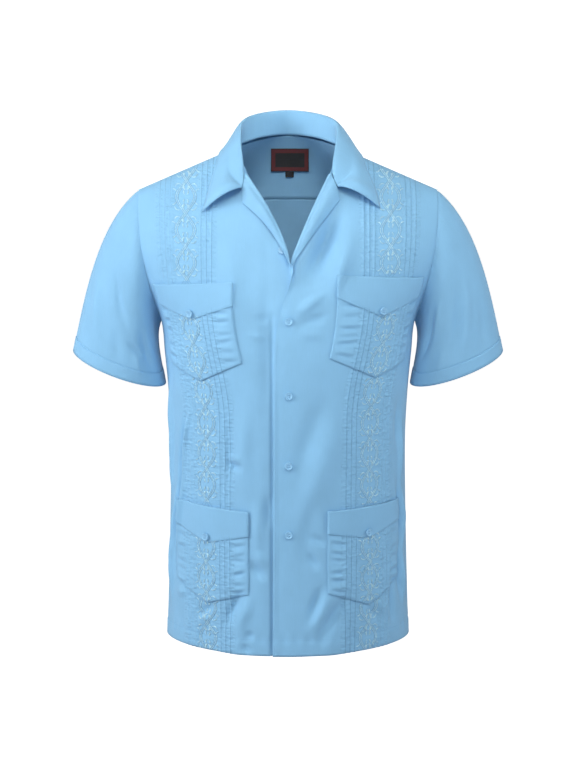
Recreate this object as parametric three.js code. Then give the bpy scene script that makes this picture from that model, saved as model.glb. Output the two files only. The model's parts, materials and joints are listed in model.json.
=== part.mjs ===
// A guayabera: a short-sleeved shirt with an open camp collar, pin-tucked and embroidered strips and four
// pointed patch pockets, filled out as if worn. Millimetres, +Z up; the front faces -Y, the wearer's left is
// +X. The origin is midway between the two neck points of the shoulders, where the shirt hangs on its wearer.
//
// Every half is worked out for the wearer's left, with x growing outwards, and mirrored for the right.

import * as THREE from "three";

// ---------------------------------------------------------------- cloth and seams

const CLOTH = 1.2; // wall of one layer of cloth
const COLLAR_CLOTH = 1.6; // two layers and their interlining
const SEAM_GAP = 0.3; // between two pieces that are sewn edge to edge
const REST_GAP = 0.5; // under a piece that lies on another one
const BLUE = 0x8fc6ee;
const CLOTH_ROUGHNESS = 0.85;

// ---------------------------------------------------------------- the form that the cloth takes

// Level sections of the filled-out shirt: half its width, the depth of its front and of its back at the
// centre, and the power of the superellipse that joins them (2 is an ellipse, more is squarer).
const LEVELS = [
  { z: -740, width: 186.5, front: 135, back: 120, power: 1.8 },
  { z: -680, width: 184, front: 133, back: 117, power: 1.95 },
  { z: -565, width: 180.3, front: 132, back: 110, power: 2.0 },
  { z: -434, width: 178, front: 135, back: 102, power: 2.05 },
  { z: -360, width: 181, front: 137, back: 100, power: 2.1 },
  { z: -300, width: 186, front: 138, back: 104, power: 2.15 },
  { z: -258, width: 190, front: 136, back: 108, power: 2.2 },
  { z: -225, width: 202, front: 133, back: 111, power: 2.2 },
  { z: -190, width: 220, front: 125, back: 113, power: 2.2 },
  { z: -150, width: 239, front: 112, back: 115, power: 2.2 },
  { z: -110, width: 253, front: 96, back: 114, power: 2.2 },
  { z: -61, width: 262, front: 74, back: 111, power: 2.25 },
  { z: 0, width: 265, front: 60, back: 104, power: 2.3 },
  { z: 60, width: 265, front: 56, back: 98, power: 2.3 },
];

const UNDERARM = { x: 190, z: -258 };
const NECK_POINT = { x: 75, z: 2 }; // where the shoulder seam meets the neckline
const SHOULDER_SLOPE = 0.43; // fall of the shoulder seam for each millimetre outwards
const SHOULDER_POINT_X = 222; // where the shoulder seam meets the sleeve
const NECK_RISE = 58; // how far the form would rise inside the neckline
const SHOULDER_ROLL = 110; // height over which the cloth rounds over the shoulder
const BACK_NECK_RISE = 16; // the back neckline's height over the neck point

const { sin, cos, abs, min, max, PI } = Math;
const mix = (a, b, t) => a + (b - a) * t;
const clamp = (t) => min(1, max(0, t));
const smooth = (t) => clamp(t) ** 2 * (3 - 2 * clamp(t));

// Smooth interpolation in a table whose rows rise with z: a cubic with the neighbours' mean slopes.
function between(table, column, z) {
  const at = min(max(z, table[0].z), table.at(-1).z);
  const row = (i) => table[min(max(i, 0), table.length - 1)];
  const i = max(0, table.findIndex((entry) => entry.z >= at) - 1);
  const slope = (k) => (row(k + 1)[column] - row(k - 1)[column]) / (row(k + 1).z - row(k - 1).z);
  const step = row(i + 1).z - row(i).z;
  const t = (at - row(i).z) / step;
  return (2 * t ** 3 - 3 * t ** 2 + 1) * row(i)[column] + (t ** 3 - 2 * t ** 2 + t) * step * slope(i)
    + (3 * t ** 2 - 2 * t ** 3) * row(i + 1)[column] + (t ** 3 - t ** 2) * step * slope(i + 1);
}

// Height of the shoulder line over x. Inside the neckline it rises to round the back of the neck.
function shoulderHeight(x) {
  const out = abs(x);
  return out > NECK_POINT.x
    ? NECK_POINT.z - SHOULDER_SLOPE * (out - NECK_POINT.x)
    : NECK_POINT.z + NECK_RISE * cos((PI / 2) * (out / NECK_POINT.x));
}

// 0 on the shoulder line, 1 where the cloth hangs clear of the shoulder's rounding.
const shoulderRound = (x, z) => Math.sqrt(1 - (1 - clamp((shoulderHeight(x) - z) / SHOULDER_ROLL)) ** 2);

// Depth of the form in front of ("front") or behind ("back") the shoulder plane.
function depthAt(x, z, face) {
  const power = between(LEVELS, "power", z);
  const out = clamp(abs(x) / between(LEVELS, "width", z));
  return between(LEVELS, face, z) * (1 - out ** power) ** (1 / power) * shoulderRound(x, z);
}

// Lengths along a level section from the centre outwards, as a list of [length, x].
function sectionLengths(z, face) {
  const steps = 72;
  const [power, width, depth] = ["power", "width", face].map((column) => between(LEVELS, column, z));
  const list = [[0, 0]];
  let [lastX, lastY] = [0, depth];
  for (let i = 1; i <= steps; i += 1) {
    const angle = (PI / 2) * (i / steps);
    const [x, y] = [width * sin(angle) ** (2 / power), depth * max(0, cos(angle)) ** (2 / power)];
    list.push([list.at(-1)[0] + Math.hypot(x - lastX, y - lastY), x]);
    [lastX, lastY] = [x, y];
  }
  return list;
}

// Looks a value up in a list of pairs: from column `from` to the other column.
function lookUp(pairs, value, from) {
  const i = min(pairs.length - 1, max(1, pairs.findIndex((pair) => pair[from] >= value)));
  const [low, high] = [pairs[i - 1], pairs[i]];
  const t = clamp((value - low[from]) / (high[from] - low[from]));
  return mix(low[1 - from], high[1 - from], t);
}

const xAlong = (s, z, face) => Math.sign(s) * lookUp(sectionLengths(z, face), abs(s), 0);
const lengthTo = (x, z, face) => Math.sign(x) * lookUp(sectionLengths(z, face), abs(x), 1);
const sideSeamLength = (z, face) => sectionLengths(z, face).at(-1)[0];

// ---------------------------------------------------------------- tucks and folds in the cloth

const TUCK_OFFSETS = [-39, -31, -23, 23, 31, 39]; // crests of the pin tucks, from the strip's centre line
const TUCK_REACH = 4; // from a tuck's crest to its foot
const TUCK_HEIGHT = 1;
const STRIP_HALF = 43; // from the strip's centre line to the last tuck's foot

// The embroidered strip's centre line, as a length from the centre front. It leans in towards the waist.
const stripCentre = (z) => mix(126, 150, smooth((z + 390) / 170));

// The largest folds: centre and half width along the section, the heights where each begins and ends, and how
// far it stands out (or in, below zero).
const FOLDS = [
  { face: "front", side: "right", at: 208, half: 15, from: -655, to: -380, out: 9 },
  { face: "front", side: "left", at: 206, half: 16, from: -690, to: -400, out: 6 },
  { face: "front", side: "right", at: 74, half: 20, from: -830, to: -660, out: 4 },
  { face: "front", side: "left", at: 66, half: 20, from: -830, to: -660, out: 4 },
  { face: "back", side: "right", at: 96, half: 24, from: -790, to: -330, out: 8 },
  { face: "back", side: "left", at: 84, half: 24, from: -790, to: -360, out: 8 },
  { face: "back", side: "right", at: 20, half: 22, from: -790, to: -420, out: -5 },
  { face: "back", side: "left", at: 150, half: 20, from: -620, to: -300, out: 6 },
];

function foldHeight(s, z, face, side) {
  return FOLDS.filter((fold) => fold.face === face && fold.side === side).reduce((sum, fold) => {
    const along = clamp((z - fold.from) / (fold.to - fold.from));
    return sum + fold.out * sin(PI * along) ** 2 * Math.exp(-(((s - fold.at) / fold.half) ** 2));
  }, 0);
}

function tuckHeight(s, z) {
  const offset = s - stripCentre(z);
  return max(0, ...TUCK_OFFSETS.map((crest) => TUCK_HEIGHT * (1 - abs(offset - crest) / TUCK_REACH)));
}

const UNDERLAP_DIP = CLOTH + REST_GAP; // the right front passes under the left one
const UNDERLAP = { full: 26, none: 44, fade: -150, top: -110 };

function underlapDip(s, z) {
  const across = 1 - smooth((s - UNDERLAP.full) / (UNDERLAP.none - UNDERLAP.full));
  return UNDERLAP_DIP * across * (1 - smooth((z - UNDERLAP.fade) / (UNDERLAP.top - UNDERLAP.fade)));
}

const SHOULDER_FADE = 25; // folds and tucks flatten over this height below the shoulder seam
const SIDE_FADE = 30; // and over this width beside the side seam

// How far the cloth stands out of the form at length s along the section at height z.
function standOut(s, z, face, side) {
  if (face === "back") return foldHeight(s, z, face, side);
  const dip = side === "right" ? underlapDip(s, z) : 0;
  const x = xAlong(s, z, face);
  const nearSeam = clamp((shoulderHeight(x) - z) / SHOULDER_FADE);
  return (tuckHeight(s, z) + foldHeight(s, z, face, side)) * nearSeam - dip;
}

// A point of the cloth's right side on the form.
function onForm(s, z, face, side) {
  const reach = sideSeamLength(z, face);
  const x = xAlong(min(s, reach), z, face);
  const y = depthAt(x, z, face);
  const slopeX = x / between(LEVELS, "width", z) ** 2;
  const slopeY = y / between(LEVELS, face, z) ** 2;
  const out = new THREE.Vector2(slopeX, slopeY).normalize();
  const stand = standOut(min(s, reach), z, face, side) * smooth((reach - s) / SIDE_FADE);
  return new THREE.Vector3(x + out.x * stand, (face === "front" ? -1 : 1) * (y + out.y * stand), z);
}

const NORMAL_STEP = 0.4; // between the points that give a direction
const SEAM_NORMAL = new THREE.Vector3(SHOULDER_SLOPE, 0, 1).normalize();

// The same point with the direction in which the cloth faces there.
function clothAt(s, z, face, side) {
  const point = onForm(s, z, face, side);
  if (shoulderHeight(point.x) - z < NORMAL_STEP) return { point, normal: SEAM_NORMAL.clone() };
  const across = onForm(s + NORMAL_STEP, z, face, side).sub(onForm(s - NORMAL_STEP, z, face, side));
  const up = onForm(s, z + NORMAL_STEP / 2, face, side).sub(onForm(s, z - NORMAL_STEP / 2, face, side));
  const normal = across.cross(up).multiplyScalar(face === "front" ? 1 : -1).normalize();
  return { point, normal };
}

// ---------------------------------------------------------------- walls of cloth

// Directions across a grid of points, for the places where none is given.
function gridNormal(rows, r, c, round) {
  const last = rows[r].length - 1;
  const column = (k) => (round ? (k + last + 1) % (last + 1) : min(last, max(0, k)));
  const across = rows[r][column(c + 1)].point.clone().sub(rows[r][column(c - 1)].point);
  const up = rows[min(rows.length - 1, r + 1)][c].point.clone().sub(rows[max(0, r - 1)][c].point);
  return across.cross(up).normalize();
}

// A closed wall from a grid of {point, normal}: one face lies `inner` along the normals, the other `outer`.
// With `round` the rows close on themselves, as on a sleeve.
function clothWall(rows, inner, outer, round = false) {
  const [height, width] = [rows.length, rows[0].length];
  const positions = [];
  for (const distance of [outer, inner]) {
    rows.forEach((row, r) => row.forEach(({ point, normal }, c) => {
      const out = normal ?? gridNormal(rows, r, c, round);
      positions.push(...point.clone().addScaledVector(out, distance).toArray());
    }));
  }
  const at = (layer, r, c) => layer * height * width + r * width + (c % width);
  const triangles = [];
  const quad = (a, b, c, d) => triangles.push(a, b, c, a, c, d);
  const spans = round ? width : width - 1;
  for (let r = 0; r < height - 1; r += 1) {
    for (let c = 0; c < spans; c += 1) {
      quad(at(0, r, c), at(0, r, c + 1), at(0, r + 1, c + 1), at(0, r + 1, c));
      quad(at(1, r, c), at(1, r + 1, c), at(1, r + 1, c + 1), at(1, r, c + 1));
    }
    if (!round) {
      quad(at(0, r, 0), at(0, r + 1, 0), at(1, r + 1, 0), at(1, r, 0));
      quad(at(0, r, width - 1), at(1, r, width - 1), at(1, r + 1, width - 1), at(0, r + 1, width - 1));
    }
  }
  for (let c = 0; c < spans; c += 1) {
    quad(at(0, 0, c), at(1, 0, c), at(1, 0, c + 1), at(0, 0, c + 1));
    quad(at(0, height - 1, c), at(0, height - 1, c + 1), at(1, height - 1, c + 1), at(1, height - 1, c));
  }
  return closedGeometry(positions, triangles);
}

// Makes the geometry, with its triangles turned so that they face out.
function closedGeometry(positions, triangles) {
  const corner = (i) => new THREE.Vector3().fromArray(positions, 3 * i);
  let volume = 0;
  for (let i = 0; i < triangles.length; i += 3) {
    volume += corner(triangles[i]).dot(corner(triangles[i + 1]).cross(corner(triangles[i + 2])));
  }
  const index = volume > 0 ? triangles : [...triangles].reverse();
  const geometry = new THREE.BufferGeometry();
  geometry.setAttribute("position", new THREE.Float32BufferAttribute(positions, 3));
  geometry.setIndex(index);
  return geometry;
}

const shirt = new THREE.Group();

function addPiece(name, geometry, color = BLUE, roughness = CLOTH_ROUGHNESS) {
  const material = new THREE.MeshStandardMaterial({ color, roughness, metalness: 0 });
  const mesh = new THREE.Mesh(geometry, material);
  mesh.name = name;
  shirt.add(mesh);
  return mesh;
}

const mirrored = (point) => point.clone().multiply(new THREE.Vector3(-1, 1, 1));
const flipRows = (rows) => rows.map((row) => row.map(({ point, normal }) => (
  { point: mirrored(point), normal: mirrored(normal) })));

// Gives each grid point its normal, and mirrors the grid for the wearer's right.
function finishRows(rows, side, round = false) {
  const complete = rows.map((row, r) => row.map(({ point, normal }, c) => (
    { point, normal: normal ?? gridNormal(rows, r, c, round) })));
  return side === "right" ? flipRows(complete) : complete;
}

// ---------------------------------------------------------------- armhole

const SHOULDER_POINT_Z = shoulderHeight(SHOULDER_POINT_X);
const UPPER_ROWS = 9; // rows of the grid from the underarm to the shoulder seam
const rise = (v) => sin((PI / 2) * v); // share of the height reached at row fraction v

// The armhole from the underarm (v = 0) to the shoulder point (v = 1).
function armholeAt(v, face) {
  const z = mix(UNDERARM.z, SHOULDER_POINT_Z, rise(v));
  const x = mix(UNDERARM.x, SHOULDER_POINT_X, sin((PI / 2) * rise(v)));
  return { s: lengthTo(x, z, face), z };
}

// Height at which a line of length s meets the shoulder seam.
function seamHeight(s, face) {
  let z = shoulderHeight(s);
  for (let i = 0; i < 4; i += 1) z = shoulderHeight(xAlong(s, z, face));
  return z;
}

// ---------------------------------------------------------------- fronts

// The front edge and the lapel. `roll` is where the cloth turns out at the break and at the collar, `bend`
// the power of that line's curve, and `opens` and `open` the heights between which it turns. The lapel's edge
// runs from the break round a control point to its tip. Lengths from the centre front, negative beyond it.
const FRONTS = {
  left: {
    edge: [[-740, -22.5], [-300, -20], [-262, -17.5], [-220, -9], [-183, 0], [-150, 4]],
    roll: { break: 7, collar: 61, bend: 1.12, opens: -212, open: -152 },
    lapel: { break: [5, -171], control: [24, -132], tip: [75, -74] },
  },
  right: {
    edge: [[-740, -19], [-220, -19], [-183, -12], [-150, -6]],
    roll: { break: 0, collar: 61, bend: 1.4, opens: -183, open: -150 },
    lapel: { break: [2, -168], control: [10, -120], tip: [66, -78] },
  },
};

const BREAK_Z = -160; // the lapels turn out over this height
const COLLAR_Z = -38; // the lapels' roll lines reach the collar here
const FLAT_TURN = 18; // width of the front edge's columns while they lie flat
const BREAK_TURN = 7; // and at the break
const FOLD_CLOTH = 9; // cloth taken up by the rolled fold
const LAPEL_TURN = 1.035 * PI; // a little over half a turn, so that the lapel's edge comes to rest
const EDGE_SHARES = [0, 0.25, 0.5, 0.75, 1]; // places round the fold
const FLAT_BELOW_Z = -220; // below this height the edge's columns run parallel
const NARROWS = { from: -225, over: 40 }; // the heights over which those columns draw together for the break
const WIDENS = { from: -185, over: 40 }; // and over which they spread again with the lapel
const FOLD_SHARE = 0.55; // of a narrow edge, the most that the fold takes up
const FLAT_TURN_ANGLE = 0.01; // radians of turn that still count as flat
const LAPEL_FIRST_ROW = 2; // row of the upper grid from which the lapel's edge leaves the break
const LAPEL_EDGE_POWER = 0.8;

const edgeLength = (z, side) => lookUp(FRONTS[side].edge, z, 0);

// Where the lapel starts to turn out: beside the edge below the break, along the roll line above it.
function turnLength(z, side) {
  const { roll } = FRONTS[side];
  const low = edgeLength(z, side) + FLAT_TURN;
  if (z < FLAT_BELOW_Z) return low;
  const share = (z - FLAT_BELOW_Z) / (BREAK_Z - FLAT_BELOW_Z);
  if (z < BREAK_Z) return mix(edgeLength(FLAT_BELOW_Z, side) + FLAT_TURN, roll.break, share);
  return mix(roll.break, roll.collar, ((z - BREAK_Z) / (COLLAR_Z - BREAK_Z)) ** roll.bend);
}

function lapelEdge(v, side) {
  const { lapel } = FRONTS[side];
  const start = rise(LAPEL_FIRST_ROW / UPPER_ROWS);
  const t = clamp((rise(v) - start) / (1 - start)) ** LAPEL_EDGE_POWER;
  return [0, 1].map((i) => (
    (1 - t) ** 2 * lapel.break[i] + 2 * t * (1 - t) * lapel.control[i] + t ** 2 * lapel.tip[i]));
}

// The cloth from its front edge to where it lies on the chest, as points with no normals. It leaves the form
// at the turn line, curls through `turn` and runs on straight to the edge.
function turnedEdge(v, z, side) {
  const base = turnLength(z, side);
  const { opens, open } = FRONTS[side].roll;
  const opened = smooth((z - opens) / (open - opens));
  const turn = LAPEL_TURN * opened;
  const [edgeS, edgeZ] = lapelEdge(v, side);
  const lapelWidth = Math.hypot(edgeS - base, edgeZ - z);
  const flat = mix(base - edgeLength(z, side), BREAK_TURN, smooth((z - NARROWS.from) / NARROWS.over));
  const width = mix(flat, FOLD_CLOTH + lapelWidth, smooth((z - WIDENS.from) / WIDENS.over));
  const fold = min(FOLD_CLOTH, FOLD_SHARE * width);
  const radius = turn > FLAT_TURN_ANGLE ? fold / turn : Infinity;
  const roundFold = EDGE_SHARES.toReversed().map((share) => share * fold);
  const places = [width, (fold + width) / 2, ...roundFold];
  return places.map((q) => {
    const angle = turn * min(1, q / fold);
    const along = radius === Infinity ? min(q, fold) : radius * sin(angle);
    const height = radius === Infinity ? 0 : radius * (1 - cos(angle));
    const rest = max(0, q - fold);
    const inward = along + rest * cos(turn);
    const lift = height + rest * sin(turn);
    const back = inward < 0 ? -inward / max(1, lapelWidth) : 0;
    const s = inward < 0 ? mix(base, edgeS, back) : base - inward;
    const { point, normal } = clothAt(s, mix(z, edgeZ, back), "front", side);
    return { point: point.addScaledVector(normal, lift) };
  });
}

const CHEST_COLUMNS = 4; // between the turn line and the strip
const SIDE_COLUMNS = 4; // between the strip and the side seam or armhole
// Where the chest columns end: two on the neckline, one on the shoulder seam.
const NECKLINE = [[67, -18], [75, 2], [90, null]];
const STRIP_OFFSETS = [-43, -39, -35, -31, -27, -23, -19, 0, 19, 23, 27, 31, 35, 39, 43];
const LOWER_ROWS = [-740, -655, -570, -490, -415, -335];

// One row of a front. v is the row's fraction above the underarm, and z its height below it.
function frontRow(side, v, lowerZ) {
  const upper = lowerZ === undefined;
  const heightOf = (top) => (upper ? mix(UNDERARM.z, top, rise(v)) : lowerZ);
  const turnZ = heightOf(COLLAR_Z);
  const row = turnedEdge(v, turnZ, side);
  const base = turnLength(turnZ, side);
  const put = (s, z) => row.push(clothAt(s, z, "front", side));
  const stripAt = (offset) => {
    const z = heightOf(seamHeight(stripCentre(0) + offset, "front"));
    return [stripCentre(z) + offset, z];
  };
  const [stripIn] = stripAt(-STRIP_HALF);
  const stripInTop = stripCentre(0) - STRIP_HALF;
  NECKLINE.forEach(([x, top], i) => {
    const low = (i + 1) / CHEST_COLUMNS;
    const high = (x - FRONTS[side].roll.collar) / (stripInTop - FRONTS[side].roll.collar);
    const share = upper ? mix(low, high, v) : low;
    put(mix(base, stripIn, share), heightOf(top ?? shoulderHeight(x)));
  });
  STRIP_OFFSETS.forEach((offset) => put(...stripAt(offset)));
  const [stripOut, stripOutZ] = stripAt(STRIP_HALF);
  const arm = upper ? armholeAt(v, "front") : { s: sideSeamLength(lowerZ, "front"), z: lowerZ };
  for (let i = 1; i <= SIDE_COLUMNS; i += 1) {
    const share = i / SIDE_COLUMNS;
    put(mix(stripOut, arm.s, share), mix(stripOutZ, arm.z, share));
  }
  return row;
}

const SEAM_BACK = SEAM_GAP / 2; // each of two joined edges stands back by half the gap

// Moves the last point of every row back from the side seam, and the top row back from the shoulder seam.
function standBack(rows, face) {
  const way = face === "front" ? -1 : 1;
  rows.forEach((row) => { row.at(-1).point.y += way * SEAM_BACK; });
  return rows;
}

for (const side of ["left", "right"]) {
  const rows = [...LOWER_ROWS.map((z) => frontRow(side, 0, z))];
  for (let i = 0; i <= UPPER_ROWS; i += 1) rows.push(frontRow(side, i / UPPER_ROWS));
  rows.at(-1).forEach(({ point }) => { point.y -= SEAM_BACK; });
  addPiece(`front_${side}`, clothWall(finishRows(standBack(rows, "front"), side), -CLOTH, 0));
}

// ---------------------------------------------------------------- back and yoke

const YOKE_ROW = 6; // the row of the upper grid on which the yoke seam lies
const YOKE_Z = -80; // the yoke seam at the centre back
const BACK_COLUMNS = 9; // on each half of the back

const yokeSeamZ = (share) => mix(YOKE_Z, armholeAt(YOKE_ROW / UPPER_ROWS, "back").z, share ** 2);

const backNeckZ = (x) => NECK_POINT.z + BACK_NECK_RISE * cos((PI / 2) * (x / NECK_POINT.x));

// Half a row of the back, from the centre to the side seam or the armhole.
function backRow(side, v, lowerZ) {
  const row = [];
  const yokeShare = rise(v) / rise(YOKE_ROW / UPPER_ROWS);
  const arm = lowerZ === undefined ? armholeAt(v, "back") : { s: sideSeamLength(lowerZ, "back"), z: lowerZ };
  for (let i = 0; i <= BACK_COLUMNS; i += 1) {
    const share = i / BACK_COLUMNS;
    const z = lowerZ ?? mix(UNDERARM.z, yokeSeamZ(share), yokeShare);
    row.push(clothAt(share * arm.s, z, "back", side));
  }
  return row;
}

const NECK_COLUMNS = 4; // of those columns, the ones that end at the neckline

// Half a row of the yoke, from its seam with the back up to the neckline and the shoulder seam.
function yokeRow(side, v) {
  const seamRise = rise(YOKE_ROW / UPPER_ROWS);
  const share = (rise(v) - seamRise) / (1 - seamRise);
  const seamArm = armholeAt(YOKE_ROW / UPPER_ROWS, "back");
  const arm = armholeAt(v, "back");
  const row = [];
  for (let i = 0; i < BACK_COLUMNS; i += 1) {
    const inNeck = i <= NECK_COLUMNS;
    const topX = inNeck
      ? NECK_POINT.x * (i / NECK_COLUMNS)
      : mix(NECK_POINT.x, SHOULDER_POINT_X, (i - NECK_COLUMNS) / (BACK_COLUMNS - NECK_COLUMNS));
    const topZ = inNeck ? backNeckZ(topX) : shoulderHeight(topX);
    const z = mix(yokeSeamZ(i / BACK_COLUMNS), topZ, share);
    const seamS = (i / BACK_COLUMNS) * seamArm.s;
    const topS = lengthTo(topX, topZ, "back");
    row.push(clothAt(mix(seamS, topS, share), z, "back", side));
  }
  row.push(clothAt(arm.s, arm.z, "back", side));
  return row;
}

// Joins the two mirrored halves of a back or yoke row into one row from right to left.
function wholeRows(makeHalf, list) {
  return list.map((entry) => {
    const [right] = flipRows([makeHalf("right", ...entry)]);
    const left = makeHalf("left", ...entry);
    const middle = left[0];
    middle.point.y = (left[0].point.y + right[0].point.y) / 2;
    middle.normal.x = 0;
    middle.normal.normalize();
    return [...right.slice(1).reverse(), middle, ...left.slice(1)];
  });
}

const backList = LOWER_ROWS.map((z) => [0, z]);
for (let i = 0; i <= YOKE_ROW; i += 1) backList.push([i / UPPER_ROWS]);
const backRows = wholeRows(backRow, backList);
backRows.forEach((row) => { for (const end of [row[0], row.at(-1)]) end.point.y += SEAM_BACK; });
backRows.at(-1).forEach(({ point }) => { point.z -= SEAM_GAP; });
addPiece("back", clothWall(backRows, -CLOTH, 0));

const yokeList = [];
for (let i = YOKE_ROW; i <= UPPER_ROWS; i += 0.5) yokeList.push([i / UPPER_ROWS]);
const yokeRows = wholeRows(yokeRow, yokeList);
yokeRows.at(-1).forEach(({ point }) => { point.y += SEAM_BACK; });
addPiece("yoke", clothWall(yokeRows, -CLOTH, 0));

// ---------------------------------------------------------------- sleeves

// The hanging sleeve's mouth: an ellipse between its outer and inner corners, its front lower than its back.
const CUFF = { outer: [324, -301], inner: [185.5, -352], halfDepth: 50, frontDrop: 11 };
const SLEEVE_ROWS = 6;
// How the cloth sets out from the armhole and arrives at the mouth, over the top of the arm and under it.
const SLEEVE_WAYS = {
  top: { start: [188, -148], end: [57, -253] },
  under: { start: [34, -50], end: [-14, -92] },
  bulge: 34, // forwards and backwards, half way round
};

const SET_OUT = 0.002; // share of the way over which the cloth's first direction is taken

// One point of a sleeve: `turn` goes from the top (0) over the front to the underarm (PI) and on over the
// back, and `t` from the armhole to the mouth. A cubic joins the two.
function sleevePoint(turn, t, armhole) {
  const { top, under, bulge } = SLEEVE_WAYS;
  const low = (1 - cos(turn)) / 2;
  const start = [0, 1].map((i) => mix(top.start[i], under.start[i], low));
  const end = [0, 1].map((i) => mix(top.end[i], under.end[i], low));
  const centre = [0, 1].map((i) => (CUFF.outer[i] + CUFF.inner[i]) / 2);
  const half = [0, 1].map((i) => (CUFF.outer[i] - CUFF.inner[i]) / 2);
  const mouth = [
    centre[0] + half[0] * cos(turn),
    -CUFF.halfDepth * sin(turn),
    centre[1] + half[1] * cos(turn) - CUFF.frontDrop * sin(turn),
  ];
  const from = armhole.toArray();
  const leave = [start[0], -bulge * sin(turn), start[1]];
  const arrive = [end[0], 0, end[1]];
  const arrived = 3 * t ** 2 - 2 * t ** 3;
  return new THREE.Vector3(...[0, 1, 2].map((i) => (
    mix(from[i], mouth[i], arrived) + (t ** 3 - 2 * t ** 2 + t) * leave[i] + (t ** 3 - t ** 2) * arrive[i])));
}

for (const side of ["left", "right"]) {
  const around = 2 * UPPER_ROWS;
  const loop = Array.from({ length: around }, (_, i) => {
    const face = i <= UPPER_ROWS ? "front" : "back";
    const { s, z } = armholeAt(abs(UPPER_ROWS - i) / UPPER_ROWS, face);
    return clothAt(s, z, face, side).point;
  });
  const rows = Array.from({ length: SLEEVE_ROWS + 1 }, (_, r) => loop.map((armhole, i) => {
    const turn = (2 * PI * i) / around;
    const start = sleevePoint(turn, SET_OUT, armhole).sub(sleevePoint(turn, 0, armhole)).normalize();
    const moved = armhole.clone().addScaledVector(start, 2 * SEAM_GAP);
    return { point: sleevePoint(turn, r / SLEEVE_ROWS, moved) };
  }));
  addPiece(`sleeve_${side}`, clothWall(finishRows(rows, side, true), -CLOTH, 0, true));
}

// ---------------------------------------------------------------- collar

// Stations of the camp collar from its front end to the centre back. Each has four places: the neck seam,
// the fold, the middle of the leaf and its edge. Where y is null, it lies on the form, `lift` clear of it.
const COLLAR = [ // x, y, z and lift
  [[65, null, -35, 1.8], [65, null, -35.5, 6], [74.5, null, -57, 8], [134, null, -85, 5]],
  [[67, null, -23, 1.6], [66, null, -20, 9], [92, null, -38, 13], [128, null, -60, 6]],
  [[71.5, null, -8, 1.8], [70, -34, 2, 0], [95, -36, -12, 0], [116, null, -32, 6]],
  [[75.5, 0, 3.5, 0], [73, -4, 24, 0], [94, -6, 8, 0], [108, 2, -8.5, 0]],
  [[64, 22, 8.5, 0], [71, 26, 39, 0], [89, 34, 18, 0], [97, 42, -9, 0]],
  [[40, 50, 16, 0], [48, 60, 50, 0], [61, 77, 26, 0], [64, 92, -9, 0]],
  [[0, 78.5, 19.5, 0], [0, 77, 56, 0], [0, 98, 30, 0], [0, 112, -10, 0]],
];
// The right end differs: its leaf reaches lower and less far out.
const COLLAR_RIGHT = [
  [[65, null, -35, 1.8], [65, null, -35.5, 6], [69, null, -59, 8], [124, null, -90, 5]],
  [[67, null, -23, 1.6], [66, null, -20, 9], [86, null, -38, 13], [117, null, -64, 6]],
  [[71.5, null, -8, 1.8], [69, -34, 2, 0], [88, -36, -12, 0], [108, null, -32, 7]],
  [[75.5, 0, 3.5, 0], [70, -4, 24, 0], [87, -6, 9, 0], [100, 2, -4, 0]],
  [[64, 22, 8.5, 0], [68, 26, 39, 0], [83, 34, 18, 0], [91, 42, -8, 0]],
];
const COLLAR_STEPS = 2; // between two stations
const ACROSS = [0, 0.5, 0.85, 1, 1.15, 1.4, 1.7, 2, 2.5, 3]; // seam 0, fold 1, leaf 2, edge 3

function collarPoint([x, y, z, lift]) {
  return new THREE.Vector3(x, y ?? -depthAt(x, z, "front") - lift, z);
}

const collarLines = COLLAR[0].map((_, line) => {
  const left = COLLAR.map((station) => collarPoint(station[line]));
  const rightEnd = COLLAR_RIGHT.map((station) => collarPoint(station[line]));
  const right = [...rightEnd, ...left.slice(rightEnd.length, -1)].map(mirrored).reverse();
  return new THREE.CatmullRomCurve3([...left, ...right], false, "centripetal");
});

const stations = 2 * (COLLAR.length - 1);
const collarRows = Array.from({ length: stations * COLLAR_STEPS + 1 }, (_, r) => {
  const along = r / (stations * COLLAR_STEPS);
  const places = collarLines.map((line) => line.getPoint(along));
  const profile = new THREE.CatmullRomCurve3(places, false, "centripetal");
  return ACROSS.map((across) => ({ point: profile.getPoint(across / 3) }));
});
addPiece("collar", clothWall(collarRows, -COLLAR_CLOTH / 2, COLLAR_CLOTH / 2));

// ---------------------------------------------------------------- pockets and their flaps

// Pointed patch pockets. `inner` and `outer` are the side edges as lengths from the strip's centre line, and
// `middle` is where the flap's point and its button lie. The other values are heights: the top at each side,
// the bottom corners, the pocket's point, the flap's two corners and the button.
const POCKETS = {
  chest: {
    left: {
      inner: -80, outer: 62, middle: -10, top: [-180, -186], corners: [-297, -307], tip: -329,
      flap: [-211, -214], button: -231,
    },
    right: {
      inner: -72, outer: 62, middle: -4, top: [-190, -196], corners: [-304, -312], tip: -334,
      flap: [-223, -224], button: -235,
    },
  },
  lower: {
    left: {
      inner: -68, outer: 66, middle: -4, top: [-523, -518], corners: [-646, -636], tip: -670,
      flap: [-557, -548], button: -559,
    },
    right: {
      inner: -68, outer: 66, middle: -1, top: [-524, -516], corners: [-648, -638], tip: -667,
      flap: [-561, -552], button: -566,
    },
  },
};
const FLAP_BELOW_BUTTON = 10; // from the button's centre to the flap's point
const POCKET_GAP = 0.9; // under a pocket, whose panel is curved
const POCKET_ROWS = 4;
const FLAP_ROWS = 2;
const FLAP_LIFT = POCKET_GAP + CLOTH + REST_GAP + TUCK_HEIGHT; // over the pocket and its tucks
const TUCK_FEET = STRIP_OFFSETS.filter((offset) => offset && !TUCK_OFFSETS.includes(offset));

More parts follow.
